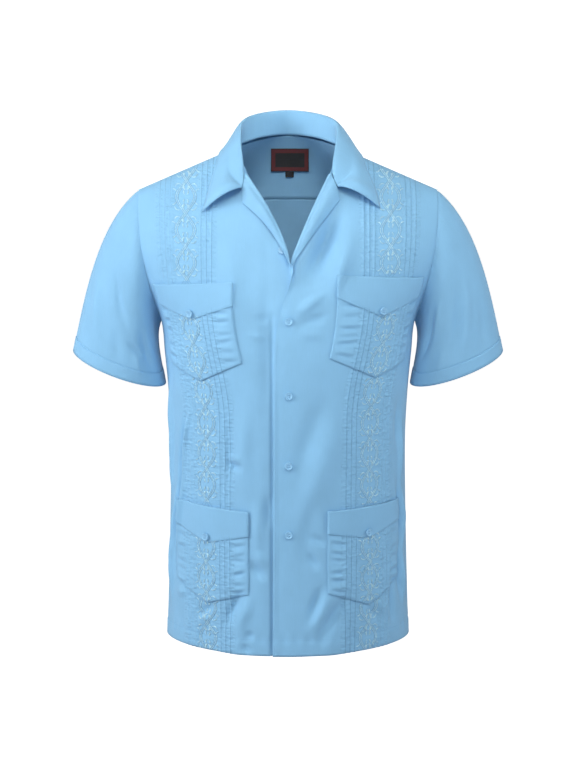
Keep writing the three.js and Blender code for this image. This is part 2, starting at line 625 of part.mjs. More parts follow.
// A patch on the front: offsets across, a straight top and a bottom that dips to a point at `middle`.
function patchRows(side, offsets, middle, [topIn, topOut], [bottomIn, bottomOut], tip, steps) {
  const [first, last] = [offsets[0], offsets.at(-1)];
  const rows = [];
  for (let r = 0; r <= steps; r += 1) {
    rows.push(offsets.map((offset) => {
      const top = mix(topIn, topOut, (offset - first) / (last - first));
      const bottom = offset < middle
        ? mix(tip, bottomIn, (offset - middle) / (first - middle))
        : mix(tip, bottomOut, (offset - middle) / (last - middle));
      const z = mix(bottom, top, r / steps);
      return clothAt(stripCentre(z) + offset, z, "front", side);
    }));
  }
  return rows;
}

for (const [row, sides] of Object.entries(POCKETS)) {
  for (const [side, pocket] of Object.entries(sides)) {
    const halfWay = (pocket.inner - STRIP_HALF) / 2;
    const offsets = [pocket.inner, halfWay, ...STRIP_OFFSETS, pocket.outer];
    const body = patchRows(side, offsets, 0, pocket.top, pocket.corners, pocket.tip, POCKET_ROWS);
    const bodyWall = clothWall(finishRows(body, side), POCKET_GAP, POCKET_GAP + CLOTH);
    addPiece(`pocket_${row}_${side}`, bodyWall);
    const low = TUCK_FEET.filter((foot) => foot < 0);
    const high = TUCK_FEET.filter((foot) => foot > 0);
    const feet = [pocket.inner, halfWay, ...low, pocket.middle, ...high, pocket.outer];
    const flapTip = pocket.button - FLAP_BELOW_BUTTON;
    const flap = patchRows(side, feet, pocket.middle, pocket.top, pocket.flap, flapTip, FLAP_ROWS);
    addPiece(`flap_${row}_${side}`, clothWall(finishRows(flap, side), FLAP_LIFT, FLAP_LIFT + CLOTH));
  }
}

// ---------------------------------------------------------------- buttons

const BUTTON = { radius: 5.8, thickness: 2.4, dish: 0.7, rim: 1.5, chamfer: 0.4, slope: 0.6 };
const BUTTON_SIDES = 14;
const BUTTON_BLUE = 0x86b9e4;
const BUTTON_ROUGHNESS = 0.4;
const PLACKET_S = 1; // the placket's buttons lie this far to the wearer's left of the centre
const PLACKET_BUTTONS = [-244, -351, -454, -557];
const TOP_BUTTON = { s: 9, z: -144 }; // on the right front, half under its lapel

function buttonGeometry() {
  const { radius, thickness, dish, rim, chamfer, slope } = BUTTON;
  const outline = [
    [0, 0], [radius - chamfer, 0], [radius, chamfer], [radius, thickness - chamfer],
    [radius - chamfer, thickness], [radius - rim, thickness],
    [radius - rim - slope, thickness - dish], [0, thickness - dish],
  ];
  return new THREE.LatheGeometry(outline.map(([x, y]) => new THREE.Vector2(x, y)), BUTTON_SIDES);
}

function addButton(name, { point, normal }, lift, side) {
  const spot = point.clone().addScaledVector(normal, lift);
  const button = addPiece(name, buttonGeometry(), BUTTON_BLUE, BUTTON_ROUGHNESS);
  button.position.copy(side === "right" ? mirrored(spot) : spot);
  const facing = side === "right" ? mirrored(normal) : normal;
  button.quaternion.setFromUnitVectors(new THREE.Vector3(0, 1, 0), facing);
}

PLACKET_BUTTONS.forEach((z, i) => {
  addButton(`button_placket_${i + 1}`, clothAt(PLACKET_S, z, "front", "left"), REST_GAP, "left");
});

addButton("button_top", clothAt(TOP_BUTTON.s, TOP_BUTTON.z, "front", "right"), REST_GAP, "right");

for (const [row, sides] of Object.entries(POCKETS)) {
  for (const [side, pocket] of Object.entries(sides)) {
    const spot = clothAt(stripCentre(pocket.button) + pocket.middle, pocket.button, "front", side);
    addButton(`button_pocket_${row}_${side}`, spot, FLAP_LIFT + CLOTH + REST_GAP, side);
  }
}

// ---------------------------------------------------------------- neck label and size tag

const LABEL = { left: -27, right: 33, top: 0, bottom: -36, thickness: 1 };
const TAG = { left: -4, right: 9, top: -36.5, bottom: -45, thickness: 1 };
const LABEL_GAP = 1.6; // the label hangs clear of the yoke
const LABEL_BLACK = 0x14161c;
const TAB_COLUMNS = 5;

// A flat tab on the yoke's inside. Its lengths count from the centre back towards the wearer's left.
function addTab(name, { left, right, top, bottom, thickness }) {
  const rows = [bottom, (top + bottom) / 2, top].map((z) => Array.from({ length: TAB_COLUMNS }, (_, i) => {
    const s = mix(left, right, i / (TAB_COLUMNS - 1));
    const { point, normal } = clothAt(abs(s), z, "back", "left");
    return s < 0 ? { point: mirrored(point), normal: mirrored(normal) } : { point, normal };
  }));
  addPiece(name, clothWall(rows, -CLOTH - LABEL_GAP - thickness, -CLOTH - LABEL_GAP), LABEL_BLACK);
}

addTab("label_neck", LABEL);
addTab("tag_size", TAG);

export default shirt;
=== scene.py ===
# A guayabera in light blue poplin: a short-sleeved shirt with an open camp collar, pin-tucked and
# embroidered strips and four pointed pockets, filled out as if worn. The sections follow the shirt as it is
# sewn together.

import json

import bpy
import numpy as np
from mathutils import Matrix, Vector

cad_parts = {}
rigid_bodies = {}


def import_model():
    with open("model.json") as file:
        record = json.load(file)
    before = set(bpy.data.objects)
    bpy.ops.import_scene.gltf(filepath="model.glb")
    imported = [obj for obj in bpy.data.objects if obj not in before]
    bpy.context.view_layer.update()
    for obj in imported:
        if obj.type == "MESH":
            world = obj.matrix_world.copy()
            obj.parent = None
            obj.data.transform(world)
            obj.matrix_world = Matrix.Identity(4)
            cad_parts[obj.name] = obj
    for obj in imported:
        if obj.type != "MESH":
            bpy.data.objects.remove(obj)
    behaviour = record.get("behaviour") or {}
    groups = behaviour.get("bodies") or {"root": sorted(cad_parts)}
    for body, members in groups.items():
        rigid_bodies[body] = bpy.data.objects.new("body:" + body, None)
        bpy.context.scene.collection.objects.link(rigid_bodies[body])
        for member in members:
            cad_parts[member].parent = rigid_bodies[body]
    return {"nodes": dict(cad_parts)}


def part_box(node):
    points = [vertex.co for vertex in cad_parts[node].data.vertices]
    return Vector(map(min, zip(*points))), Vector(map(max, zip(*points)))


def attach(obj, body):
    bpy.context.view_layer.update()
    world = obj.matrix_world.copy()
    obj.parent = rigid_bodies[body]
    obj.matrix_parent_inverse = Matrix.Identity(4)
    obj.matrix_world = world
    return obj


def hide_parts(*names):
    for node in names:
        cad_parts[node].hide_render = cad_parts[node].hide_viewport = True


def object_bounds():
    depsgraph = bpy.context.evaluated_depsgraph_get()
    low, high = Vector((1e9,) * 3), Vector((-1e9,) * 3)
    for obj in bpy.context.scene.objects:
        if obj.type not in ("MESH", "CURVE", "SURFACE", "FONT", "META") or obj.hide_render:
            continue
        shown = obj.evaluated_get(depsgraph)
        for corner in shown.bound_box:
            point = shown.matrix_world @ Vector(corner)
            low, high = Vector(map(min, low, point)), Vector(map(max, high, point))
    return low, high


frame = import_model()
cad_box = [list(corner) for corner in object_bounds()]

# ---------------------------------------------------------------- studio
# A plain white room with one large floor. Square soft lamps hang in front, overhead and at both sides, the
# stronger of those on the wearer's right, and a weak one hangs low in front. The camera looks down a little.


class Wire:
    """A node's output. Arithmetic on wires and numbers adds Math nodes to the same material."""

    def __init__(self, socket):
        self.socket = socket
        self.tree = socket.id_data

    def make(self, kind, settings, inputs, output=0):
        """Adds a node: its settings first, then the values or wires of its sockets, by name or place."""
        node = self.tree.nodes.new(kind)
        for key, value in settings.items():
            if key == "stops":
                for stop, (place, shade) in zip(node.color_ramp.elements, value):
                    stop.position, stop.color = place, (shade, shade, shade, 1)
            else:
                setattr(node, key, value)
        for key, value in inputs.items():
            if isinstance(value, Wire):
                self.tree.links.new(value.socket, node.inputs[key])
            else:
                node.inputs[key].default_value = value
        return Wire(node.outputs[output])

    def math(self, operation, *others):
        return self.make("ShaderNodeMath", {"operation": operation}, dict(enumerate((self, *others))))

    def __add__(self, other):
        return self.math("ADD", other)

    def __sub__(self, other):
        return self.math("SUBTRACT", other)

    def __rsub__(self, other):
        return self.make("ShaderNodeMath", {"operation": "SUBTRACT"}, {0: other, 1: self})

    def __mul__(self, other):
        return self.math("MULTIPLY", other)

    __radd__ = __add__
    __rmul__ = __mul__

    def part(self, which):
        """One number of a vector: 0, 1 or 2 for x, y or z."""
        return self.make("ShaderNodeSeparateXYZ", {}, {0: self}, output=which)

    def between(self, low, high):
        """1 while the value lies between low and high, else 0."""
        return self.math("GREATER_THAN", low) * self.math("LESS_THAN", high)

    def spread(self, low, high, start=0.0, end=1.0, kind="LINEAR"):
        """The value carried from the range low to high to the range start to end, and held there."""
        return self.make("ShaderNodeMapRange", {"interpolation_type": kind}, {
            "Value": self, "From Min": low, "From Max": high, "To Min": start, "To Max": end})

    def noise(self, scale, detail=2.0, distortion=0.0):
        return self.make("ShaderNodeTexNoise", {}, {
            "Vector": self, "Scale": scale, "Detail": detail, "Distortion": distortion})

    def stretched(self, x, y):
        """A flat place with its two numbers multiplied."""
        return self.make("ShaderNodeMapping", {}, {"Vector": self, "Scale": (x, y, 1)})

    def bump(self, strength, distance):
        return self.make("ShaderNodeBump", {}, {"Strength": strength, "Distance": distance, "Height": self})

    def blend(self, first, second):
        """The colour first where this wire is 0 and second where it is 1."""
        return self.make("ShaderNodeMix", {"data_type": "RGBA"}, {0: self, 6: first, 7: second}, output=2)


def new_material(name, **sockets):
    """A material with one Principled shader whose sockets hold these values. Returns it with that shader."""
    material = bpy.data.materials.new(name)
    material.use_nodes = True
    shader = material.node_tree.nodes["Principled BSDF"]
    for key, value in sockets.items():
        shader.inputs[key.replace("_", " ")].default_value = value
    return material, shader


def start(shader, kind="ShaderNodeTexCoord", output="Object"):
    """The first wire of a material's maths, such as the Object coordinates."""
    return Wire(shader.id_data.nodes.new(kind).outputs[output])


def plug(wire, shader, socket):
    """Joins a wire to one of the shader's sockets."""
    shader.id_data.links.new(wire.socket, shader.inputs[socket])


def add_object(name, points, faces, material=None, smooth=False):
    """A new object from points and faces, in the scene, with its material."""
    mesh = bpy.data.meshes.new(name)
    mesh.from_pydata(np.asarray(points).reshape(-1, 3).tolist(), [], faces)
    mesh.polygons.foreach_set("use_smooth", np.full(len(mesh.polygons), smooth))
    if material:
        mesh.materials.append(material)
    mesh.update()
    piece = bpy.data.objects.new(name, mesh)
    bpy.context.scene.collection.objects.link(piece)
    return piece


FLOOR_DROP = 0.71  # from the hem down to the floor that its wearer would stand on
FLOOR_REACH = 40.0

floor_z = cad_box[0][2] - FLOOR_DROP
corners = [(x * FLOOR_REACH, y * FLOOR_REACH, floor_z) for x, y in ((-1, -1), (1, -1), (1, 1), (-1, 1))]
floor_material, floor_shader = new_material("floor_white", Roughness=0.9, Emission_Strength=1.0)
cloudy_white = start(floor_shader).noise(3.0).blend((0.97, 0.97, 0.97, 1), (1.0, 1.0, 1.0, 1))
plug(cloudy_white, floor_shader, "Emission Color")
floor = add_object("floor", corners, [(0, 1, 2, 3)], floor_material)
floor.visible_diffuse = False
floor.visible_glossy = False

FILL_ABOVE, FILL_BELOW = 0.06, 0.66  # what the room gives back from above and below the horizon
HORIZON_BLUR = 0.06
ROOM_WHITE = 1.2  # its walls as the camera sees them
world = bpy.data.worlds.new("white_room")
world.use_nodes = True
background = world.node_tree.nodes["Background"]
fill = start(background, output="Generated").part(2)
fill = fill.spread(-HORIZON_BLUR, HORIZON_BLUR, FILL_BELOW, FILL_ABOVE)
seen = start(background, kind="ShaderNodeLightPath", output="Is Camera Ray")
plug(fill + seen * (ROOM_WHITE - fill), background, "Strength")
background.inputs["Color"].default_value = (1, 1, 1, 1)
bpy.context.scene.world = world
bpy.context.scene.view_settings.view_transform = "Standard"

LAMPS = {  # where it hangs, what it faces, the side of its square, its power and its colour
    "front_lamp": ((0.0, -1.3, 0.9), (0, 0, -0.15), 0.8, 19.5, (1.0, 0.97, 0.86)),
    "left_lamp": ((-2.4, -1.0, 0.6), (0, 0, -0.35), 1.2, 59.0, (0.97, 1.0, 1.0)),
    "right_lamp": ((2.4, -1.0, 0.6), (0, 0, -0.35), 1.2, 25.0, (0.85, 0.95, 1.0)),
    "low_lamp": ((0.0, -2.6, -0.35), (0, 0, -0.35), 1.2, 6.0, (0.6, 0.8, 1.0)),
    "top_lamp": ((0.0, -0.2, 2.0), (0, 0, -0.1), 1.0, 6.0, (1.0, 0.95, 0.9)),
}
for name, (place, aim, size, power, colour) in LAMPS.items():
    data = bpy.data.lights.new(name, "AREA")
    data.size, data.energy, data.color = size, power, colour
    lamp = bpy.data.objects.new(name, data)
    lamp.location = place
    lamp.rotation_mode = "QUATERNION"
    lamp.rotation_quaternion = (Vector(aim) - Vector(place)).to_track_quat("-Z", "Y")
    bpy.context.scene.collection.objects.link(lamp)

CAMERA_DISTANCE = 2.6
CAMERA_RISE = np.radians(8.5)
AIM_HEIGHT = -0.354
FOCAL_LENGTH, SENSOR_WIDTH = 80.4, 36

camera_data = bpy.data.cameras.new("camera")
camera_data.lens, camera_data.sensor_width = FOCAL_LENGTH, SENSOR_WIDTH
camera = bpy.data.objects.new("camera", camera_data)
camera.location = (0, -CAMERA_DISTANCE * np.cos(CAMERA_RISE),
                   AIM_HEIGHT + CAMERA_DISTANCE * np.sin(CAMERA_RISE))
camera.rotation_euler = (np.pi / 2 - CAMERA_RISE, 0, 0)
bpy.context.scene.collection.objects.link(camera)
bpy.context.scene.camera = camera

# ---------------------------------------------------------------- fronts
# Two panels of plain-weave poplin, the wearer's left one lapped over the right. Each has a strip with three
# pin tucks on both sides, and its upper corner turns out into a lapel at the open neck.

# Level sections of the filled-out shirt: height, half width, depth in front and behind, and the power of the
# superellipse that joins them (2 is an ellipse, more is squarer).
LEVELS = np.array([
    [-0.740, 0.1865, 0.135, 0.120, 1.80], [-0.680, 0.1840, 0.133, 0.117, 1.95],
    [-0.565, 0.1803, 0.132, 0.110, 2.00], [-0.434, 0.1780, 0.135, 0.102, 2.05],
    [-0.360, 0.1810, 0.137, 0.100, 2.10], [-0.300, 0.1860, 0.138, 0.104, 2.15],
    [-0.258, 0.1900, 0.136, 0.108, 2.20], [-0.225, 0.2020, 0.133, 0.111, 2.20],
    [-0.190, 0.2200, 0.125, 0.113, 2.20], [-0.150, 0.2390, 0.112, 0.115, 2.20],
    [-0.110, 0.2530, 0.096, 0.114, 2.20], [-0.061, 0.2620, 0.074, 0.111, 2.25],
    [0.000, 0.2650, 0.060, 0.104, 2.30], [0.060, 0.2650, 0.056, 0.098, 2.30],
])
WIDTH, FRONT, BACK, POWER = 1, 2, 3, 4  # columns of LEVELS

HEM_Z = -0.740
UNDERARM = (0.190, -0.258)
NECK_POINT = (0.075, 0.002)  # where the shoulder seam meets the neckline
SHOULDER_SLOPE = 0.43
SHOULDER_POINT_X = 0.222  # where the shoulder seam meets the sleeve
NECK_RISE = 0.058  # how far the form would rise inside the neckline
SHOULDER_ROLL = 0.110  # height over which the cloth rounds over the shoulder


def mix(a, b, t):
    """The value at share t of the way from a to b."""
    return a + (b - a) * t


def smooth(t):
    """An S-shaped step from 0 to 1: three t squared less two t cubed."""
    t = np.clip(t, 0, 1)
    return t * t * (3 - 2 * t)


def cubic(t, first, leaving, last, arriving):
    """A cubic from first to last as t runs from 0 to 1, which leaves and arrives with the given slopes."""
    return ((2 * t**3 - 3 * t**2 + 1) * first + (t**3 - 2 * t**2 + t) * leaving
            + (3 * t**2 - 2 * t**3) * last + (t**3 - t**2) * arriving)


def level(column, z):
    """A column of LEVELS at height z: a cubic between two rows whose slope at a row is that of its
    neighbours."""
    heights, values = LEVELS[:, 0], LEVELS[:, column]
    rows = np.arange(len(heights))
    before, after = np.maximum(rows - 1, 0), np.minimum(rows + 1, len(heights) - 1)
    slopes = (values[after] - values[before]) / (heights[after] - heights[before])
    z = np.clip(z, heights[0], heights[-1])
    below = np.clip(np.searchsorted(heights, z, side="right") - 1, 0, len(heights) - 2)
    step = heights[below + 1] - heights[below]
    return cubic((z - heights[below]) / step, values[below], step * slopes[below],
                 values[below + 1], step * slopes[below + 1])


def shoulder_height(x):
    """The shoulder line: a straight slope outside the neck point, a quarter cosine over the neck inside
    it."""
    out = np.abs(x)
    over_neck = NECK_POINT[1] + NECK_RISE * np.cos(np.pi / 2 * np.minimum(out / NECK_POINT[0], 1))
    return np.where(out > NECK_POINT[0], NECK_POINT[1] - SHOULDER_SLOPE * (out - NECK_POINT[0]), over_neck)


def depth_at(x, z, face):
    """Depth of the form: a superellipse over x, times a quarter circle that closes it at the shoulder
    line."""
    power = level(POWER, z)
    out = np.clip(np.abs(x) / level(WIDTH, z), 0, 1)
    fall = np.clip((shoulder_height(x) - z) / SHOULDER_ROLL, 0, 1)
    return level(face, z) * (1 - out**power) ** (1 / power) * np.sqrt(1 - (1 - fall) ** 2)


TABLE_Z = np.linspace(-0.76, 0.08, 421)  # heights of the table's rows, 2 mm apart
TABLE_APART = 10.0  # keeps the rows of the table apart on one number line
SECTION_POINTS = 121  # on a quarter of a section


def section_table(face):
    """Lengths from the centre along the level sections at TABLE_Z, and the x at which each is reached."""
    angle = np.linspace(0, np.pi / 2, SECTION_POINTS)
    power, width, depth = (level(column, TABLE_Z)[:, None] for column in (POWER, WIDTH, face))
    x, y = width * np.sin(angle) ** (2 / power), depth * np.clip(np.cos(angle), 0, 1) ** (2 / power)
    steps = np.hypot(np.diff(x), np.diff(y))
    return np.concatenate([np.zeros_like(width), np.cumsum(steps, axis=1)], axis=1), x


SECTIONS = {face: section_table(face) for face in (FRONT, BACK)}


def look_up(values, z, face, source):
    """Reads the section table from lengths to x (source 0) or back (source 1), between its two nearest
    rows."""
    known, wanted = SECTIONS[face][source], SECTIONS[face][1 - source]
    line = (known + TABLE_APART * np.arange(len(TABLE_Z))[:, None]).ravel()
    place = np.clip((z - TABLE_Z[0]) / (TABLE_Z[1] - TABLE_Z[0]), 0, len(TABLE_Z) - 1.001)
    row = np.floor(place).astype(int)
    size = np.abs(values)
    found = [np.interp(np.minimum(size, known[r, -1]) + TABLE_APART * r, line, wanted.ravel())
             for r in (row, row + 1)]
    return np.sign(values) * mix(found[0], found[1], place - row)


def x_along(s, z, face):
    """The x reached at length s along the level section at height z."""
    return look_up(s, z, face, 0)


def length_to(x, z, face):
    """The length along the level section at height z that reaches x."""
    return look_up(x, z, face, 1)


def on_form(s, z, face):
    """A point of the bare form at length s from the centre and height z."""
    s, z = np.broadcast_arrays(np.asarray(s, float), np.asarray(z, float))
    x = x_along(s, z, face)
    return np.stack([x, (-1 if face == FRONT else 1) * depth_at(x, z, face), z], axis=-1)


NORMAL_STEP = 0.0004  # between the points that give a direction


def unit(vectors):
    """Vectors divided by their lengths."""
    return vectors / np.maximum(np.linalg.norm(vectors, axis=-1, keepdims=True), 1e-12)


def form_normal(s, z, face):
    """Which way the form faces: across times up, each as the difference of two near points."""
    s, z = np.broadcast_arrays(np.asarray(s, float), np.asarray(z, float))
    across = on_form(s + NORMAL_STEP, z, face) - on_form(s - NORMAL_STEP, z, face)
    up = on_form(s, z + NORMAL_STEP / 2, face) - on_form(s, z - NORMAL_STEP / 2, face)
    normal = unit(np.cross(across, up) * (1 if face == FRONT else -1))
    at_seam = shoulder_height(x_along(s, z, face)) - z < 2.5 * NORMAL_STEP
    x_side = np.where(s < 0, -1.0, 1.0)
    seam = unit(np.stack([x_side * SHOULDER_SLOPE, np.zeros_like(z), np.ones_like(z)], axis=-1))
    return np.where(at_seam[..., None], seam, normal)


TUCKS = np.array([-0.039, -0.031, -0.023, 0.023, 0.031, 0.039])  # crests, from the strip's centre line
TUCK_RISE = 0.0042  # over this width a tuck rises to its crest,
TUCK_FALL = 0.0009  # and over this one it falls to the cloth
TUCK_HEIGHT = 0.0012
STRIP_HALF = 0.043
STRIP_LOW, STRIP_HIGH = 0.126, 0.150  # from the centre front to its centre line, at the hem and at the chest
LEAN_FROM, LEAN_TO = -0.390, -0.220  # the heights between which it leans out


def strip_centre(z):
    """The strip's centre line, as a length from the centre front."""
    return mix(STRIP_LOW, STRIP_HIGH, smooth((z - LEAN_FROM) / (LEAN_TO - LEAN_FROM)))


def tuck_height(offset):
    """Pressed tucks: each a saw tooth that rises towards the side seam and falls steeply past its crest."""
    from_crest = offset[..., None] - TUCKS
    teeth = np.minimum(1 + from_crest / TUCK_RISE, 1 - from_crest / TUCK_FALL)
    return TUCK_HEIGHT * np.clip(teeth, 0, 1).max(axis=-1)


# Soft folds of the fronts, in mm. Lengths run from the centre front to the wearer's left, below zero to the
# right: length and height of the start and of the end, sideways bow of the middle, half width and height (a
# trough below zero).
FRONT_FOLDS = np.array([
    # wearer's right chest: a broad ridge under the collar, hollows towards the placket
    [-78, -85, -80, -360, 4, 20, 6.5], [-36, -170, -34, -420, -4, 13, -4.7],
    [-60, -243, -12, -236, 1, 4, -2.2], [-64, -262, -22, -268, 1, 5, 1.9],
    [-58, -340, -60, -520, 6, 12, 4.7], [-86, -380, -82, -500, 3, 8, -3.4],
    [-98, -452, -60, -459, 2, 5, -4.7], [-92, -441, -64, -446, 2, 5, 3.1],
    [-30, -490, -28, -560, 1, 7, -4.7], [-48, -500, -46, -600, -2, 9, 3.4],
    [-60, -595, -30, -628, 1, 6, -5.3], [-52, -582, -26, -606, 1, 6, 3.4],
    # wearer's right side, beside and below the lower pocket
    [-150, -360, -176, -500, 6, 4.2, 5.5], [-161, -370, -186, -505, 6, 4, -6.2],
    [-172, -445, -196, -610, -5, 4, 7], [-182, -440, -204, -600, -5, 4.2, -6.8],
    [-192, -480, -212, -660, 4, 4, 6], [-200, -560, -214, -700, 3, 5, 6.2],
    [-208, -390, -216, -540, 3, 5, 5.8], [-216, -330, -218, -470, 0, 10, 6.2],
    [-60, -632, -100, -712, 3, 8, -5.8], [-48, -640, -78, -720, 3, 9, 4.7],
    [-108, -668, -146, -694, 2, 5.5, -5], [-118, -686, -150, -706, 2, 5.5, 3.7],
    [-160, -650, -196, -664, -2, 6, 4], [-66, -706, -46, -712, 1, 4.5, -4],
    [-74, -722, -50, -736, 1, 5, -3.7],
    # wearer's left chest: the hollow beside the lapel and the drag lines from the first button
    [78, -62, 18, -205, -4, 12, -18], [96, -100, 56, -235, -2, 13, 8.5], [4, -238, 60, -196, 2, 5.5, 5],
    [8, -248, 66, -232, 2, 5.5, -4.5], [10, -262, 58, -268, -2, 6, 2.5], [70, -215, 92, -160, 1, 5, -2.5],
    # wearer's left: a long slanting fold across the belly, and short ones at the lower pocket
    [90, -350, 16, -580, 6, 20, 6.2], [64, -330, 6, -500, 4, 14, -4], [44, -470, 20, -640, 3, 11, -3.4],
    [28, -556, 62, -574, 1, 5, -3.4], [26, -580, 48, -612, 1, 5.5, -4.7], [98, -640, 42, -732, 3, 9, -7],
    [78, -628, 26, -722, 3, 10, 5.3], [54, -628, 30, -700, 2, 6.5, -5.3],
    [122, -664, 152, -704, 2, 6, -4.7], [136, -656, 170, -690, 2, 6, 4],
    [206, -380, 198, -520, 3, 4.5, 5.8], [196, -480, 206, -620, -4, 4.2, 7.4],
    [187, -470, 196, -610, -4, 4.5, -6.5], [202, -580, 212, -700, 3, 4.8, 6.7],
    [190, -570, 200, -690, 2, 5, -6.2], [172, -620, 180, -730, 2, 6, -5.3],
    [188, -350, 192, -460, 2, 8, -4.7],
    # the hem, drawn in a little by its stitching
    [-74, -660, -74, -790, 0, 20, 3.5], [66, -660, 66, -790, 0, 20, 3.5],
]) / 1000


def bell(distance, half):
    """A bell curve: 1 at no distance, e times less at the half width."""
    return np.exp(-((distance / half) ** 2))


def along_folds(s, z, folds):
    """Sum of soft ridges. Each follows a bowed line from its start to its end: a bell curve across it, and
    half a squared sine along it, so that it fades at both ends."""
    total = np.zeros(np.broadcast(s, z).shape)
    for s0, z0, s1, z1, bow, half, height in folds:
        run = np.hypot(s1 - s0, z1 - z0)
        along = ((s - s0) * (s1 - s0) + (z - z0) * (z1 - z0)) / run**2
        across = ((s - s0) * (z1 - z0) - (z - z0) * (s1 - s0)) / run
        held = np.clip(along, 0, 1)
        total = total + height * np.sin(np.pi * held) ** 2 * bell(across - bow * np.sin(np.pi * held), half)
    return total


UNDERLAP_DIP = 0.0017  # the right front passes this far under the left one
UNDERLAP_FROM, UNDERLAP_OVER = 0.026, 0.018  # and comes out of the dip over this length,
UNDERLAP_TOP, UNDERLAP_FADE = -0.150, 0.040  # and over this height above the break of the lapels
EDGE_GROOVE = 0.0030  # it dips this much more in a narrow groove along the left one's edge
GROOVE_AT, GROOVE_HALF = 0.0232, 0.0026
GROOVE_TOP, EDGE_FADE = -0.255, 0.030
EDGE_RISE = 0.0010  # the left front's turned edge stands out by one more layer
RISE_FROM, RISE_OVER, RISE_TOP = -0.020, 0.008, -0.215
SIDE_FADE, SHOULDER_FADE = 0.030, 0.025  # folds and tucks flatten over these beside and below the seams


def underlap_dip(s, z):
    """Deepest at the centre front, gone 44 mm out and above the break of the lapels, with the groove."""
    groove = EDGE_GROOVE * bell(s - GROOVE_AT, GROOVE_HALF) * (1 - smooth((z - GROOVE_TOP) / EDGE_FADE))
    dip = UNDERLAP_DIP * (1 - smooth((s - UNDERLAP_FROM) / UNDERLAP_OVER))
    return groove + dip * (1 - smooth((z - UNDERLAP_TOP) / UNDERLAP_FADE))


HEM_DEPTH = 0.024
HEM_LAYER, HEM_GROOVE, HEM_PUCKER = 0.0006, 0.0007, 0.0005
HEM_STEP, PUCKER_HALF, PUCKER_APART = 0.003, 0.011, 0.021


def hem_height(s, z):
    """The turned-up hem: one layer more below its stitching, a groove at it, and small puckers along it."""
    from_stitch = z - (HEM_Z + HEM_DEPTH)
    pucker = np.sin(s * 2 * np.pi / PUCKER_APART + 2 * np.sin(s * 31)) * bell(from_stitch, PUCKER_HALF)
    layer = HEM_LAYER * (1 - smooth(from_stitch / HEM_STEP + 0.5))
    return layer - HEM_GROOVE * bell(from_stitch, HEM_STEP) + HEM_PUCKER * pucker


def reach(z, face):
    """Length of the level section from the centre to the side."""
    return np.interp(z, TABLE_Z, SECTIONS[face][0][:, -1])


def front_relief(s, z, side, tucks=True):
    """How far a front stands out of the form: its folds and its tucks, fading out at the seams."""
    signed = s if side == "left" else -s
    x = x_along(s, z, FRONT)
    height = along_folds(signed, z, FRONT_FOLDS)
    if tucks:
        height = height + tuck_height(s - strip_centre(z))
    held = smooth((reach(z, FRONT) - s) / SIDE_FADE) * np.clip((shoulder_height(x) - z) / SHOULDER_FADE, 0, 1)
    rim = EDGE_RISE * (1 - smooth((s - RISE_FROM) / RISE_OVER)) * (1 - smooth((z - RISE_TOP) / EDGE_FADE))
    dip = underlap_dip(s, z) if side == "right" else -rim
    return height * held - dip + hem_height(signed, z)


def mirror(points, side):
    """Half a shirt is worked out for the wearer's left; for the right, x changes sign."""
    return points * np.array([1 if side == "left" else -1, 1, 1])


def on_front(s, z, side, lift=0.0, tucks=True):
    """A point of a front's right side, or of what lies on it at some lift."""
    s, z = np.broadcast_arrays(np.asarray(s, float), np.asarray(z, float))
    height = front_relief(s, z, side, tucks) + lift
    return mirror(on_form(s, z, FRONT) + form_normal(s, z, FRONT) * height[..., None], side)


def rise(v):
    """Share of the height from the underarm to the shoulder that row fraction v has reached."""
    return np.sin(np.pi / 2 * v)


def armhole(v, face):
    """The armhole's length along the section and its height: x follows a quarter sine over the height."""
    z = mix(UNDERARM[1], shoulder_height(SHOULDER_POINT_X), rise(v))
    x = mix(UNDERARM[0], SHOULDER_POINT_X, np.sin(np.pi / 2 * rise(v)))
    return length_to(x, z, face), z


def seam_height(s, face):
    """Height at which a line of length s meets the shoulder seam, by four rounds of looking it up."""
    z = shoulder_height(s)
    for _ in range(4):
        z = shoulder_height(x_along(s, z, face))
    return z


# The front edge and the lapel: where the edge runs, and how the cloth rolls out at the break and at the
# collar.
EDGES = {
    "left": np.array([[-0.740, -0.0225], [-0.300, -0.0200], [-0.262, -0.0175],
                      [-0.220, -0.009], [-0.183, 0.0], [-0.150, 0.004]]),
    "right": np.array([[-0.740, -0.019], [-0.220, -0.019], [-0.183, -0.012], [-0.150, -0.006]]),
}
ROLLS = {  # length at the break and at the collar, power of the line between, heights between which it opens
    "left": (0.007, 0.061, 1.12, -0.212, -0.152),
    "right": (0.000, 0.061, 1.40, -0.183, -0.150),
}
LAPELS = {  # the lapel's edge: its break, the point that bends it, and its tip
    "left": np.array([[0.005, -0.171], [0.024, -0.132], [0.075, -0.074]]),
    "right": np.array([[0.002, -0.168], [0.010, -0.120], [0.066, -0.078]]),
}
BREAK_Z, COLLAR_Z = -0.160, -0.038  # heights of the break and of the roll line's end at the collar
FLAT_BELOW = -0.220  # below this height the edge's columns run parallel,
FLAT_TURN, BREAK_TURN = 0.018, 0.007  # this wide there and this wide at the break
NARROWS, WIDENS, CHANGE_OVER = -0.225, -0.185, 0.040  # where they draw together and spread again
FOLD_CLOTH, FOLD_SHARE = 0.007, 0.55  # cloth taken up by the rolled fold, and its most of a narrow edge
LAPEL_TURN = 1.035 * np.pi  # a little over half a turn, so that the lapel comes to rest
LAPEL_START = rise(2 / 9)
LAPEL_EDGE_POWER = 0.8
FLAT_ANGLE = 0.01  # radians of turn that still count as flat
LAPEL_BELLY, BELLY_FROM, BELLY_OVER = 0.004, -0.15, 0.05  # the lapel's middle stands out above the break


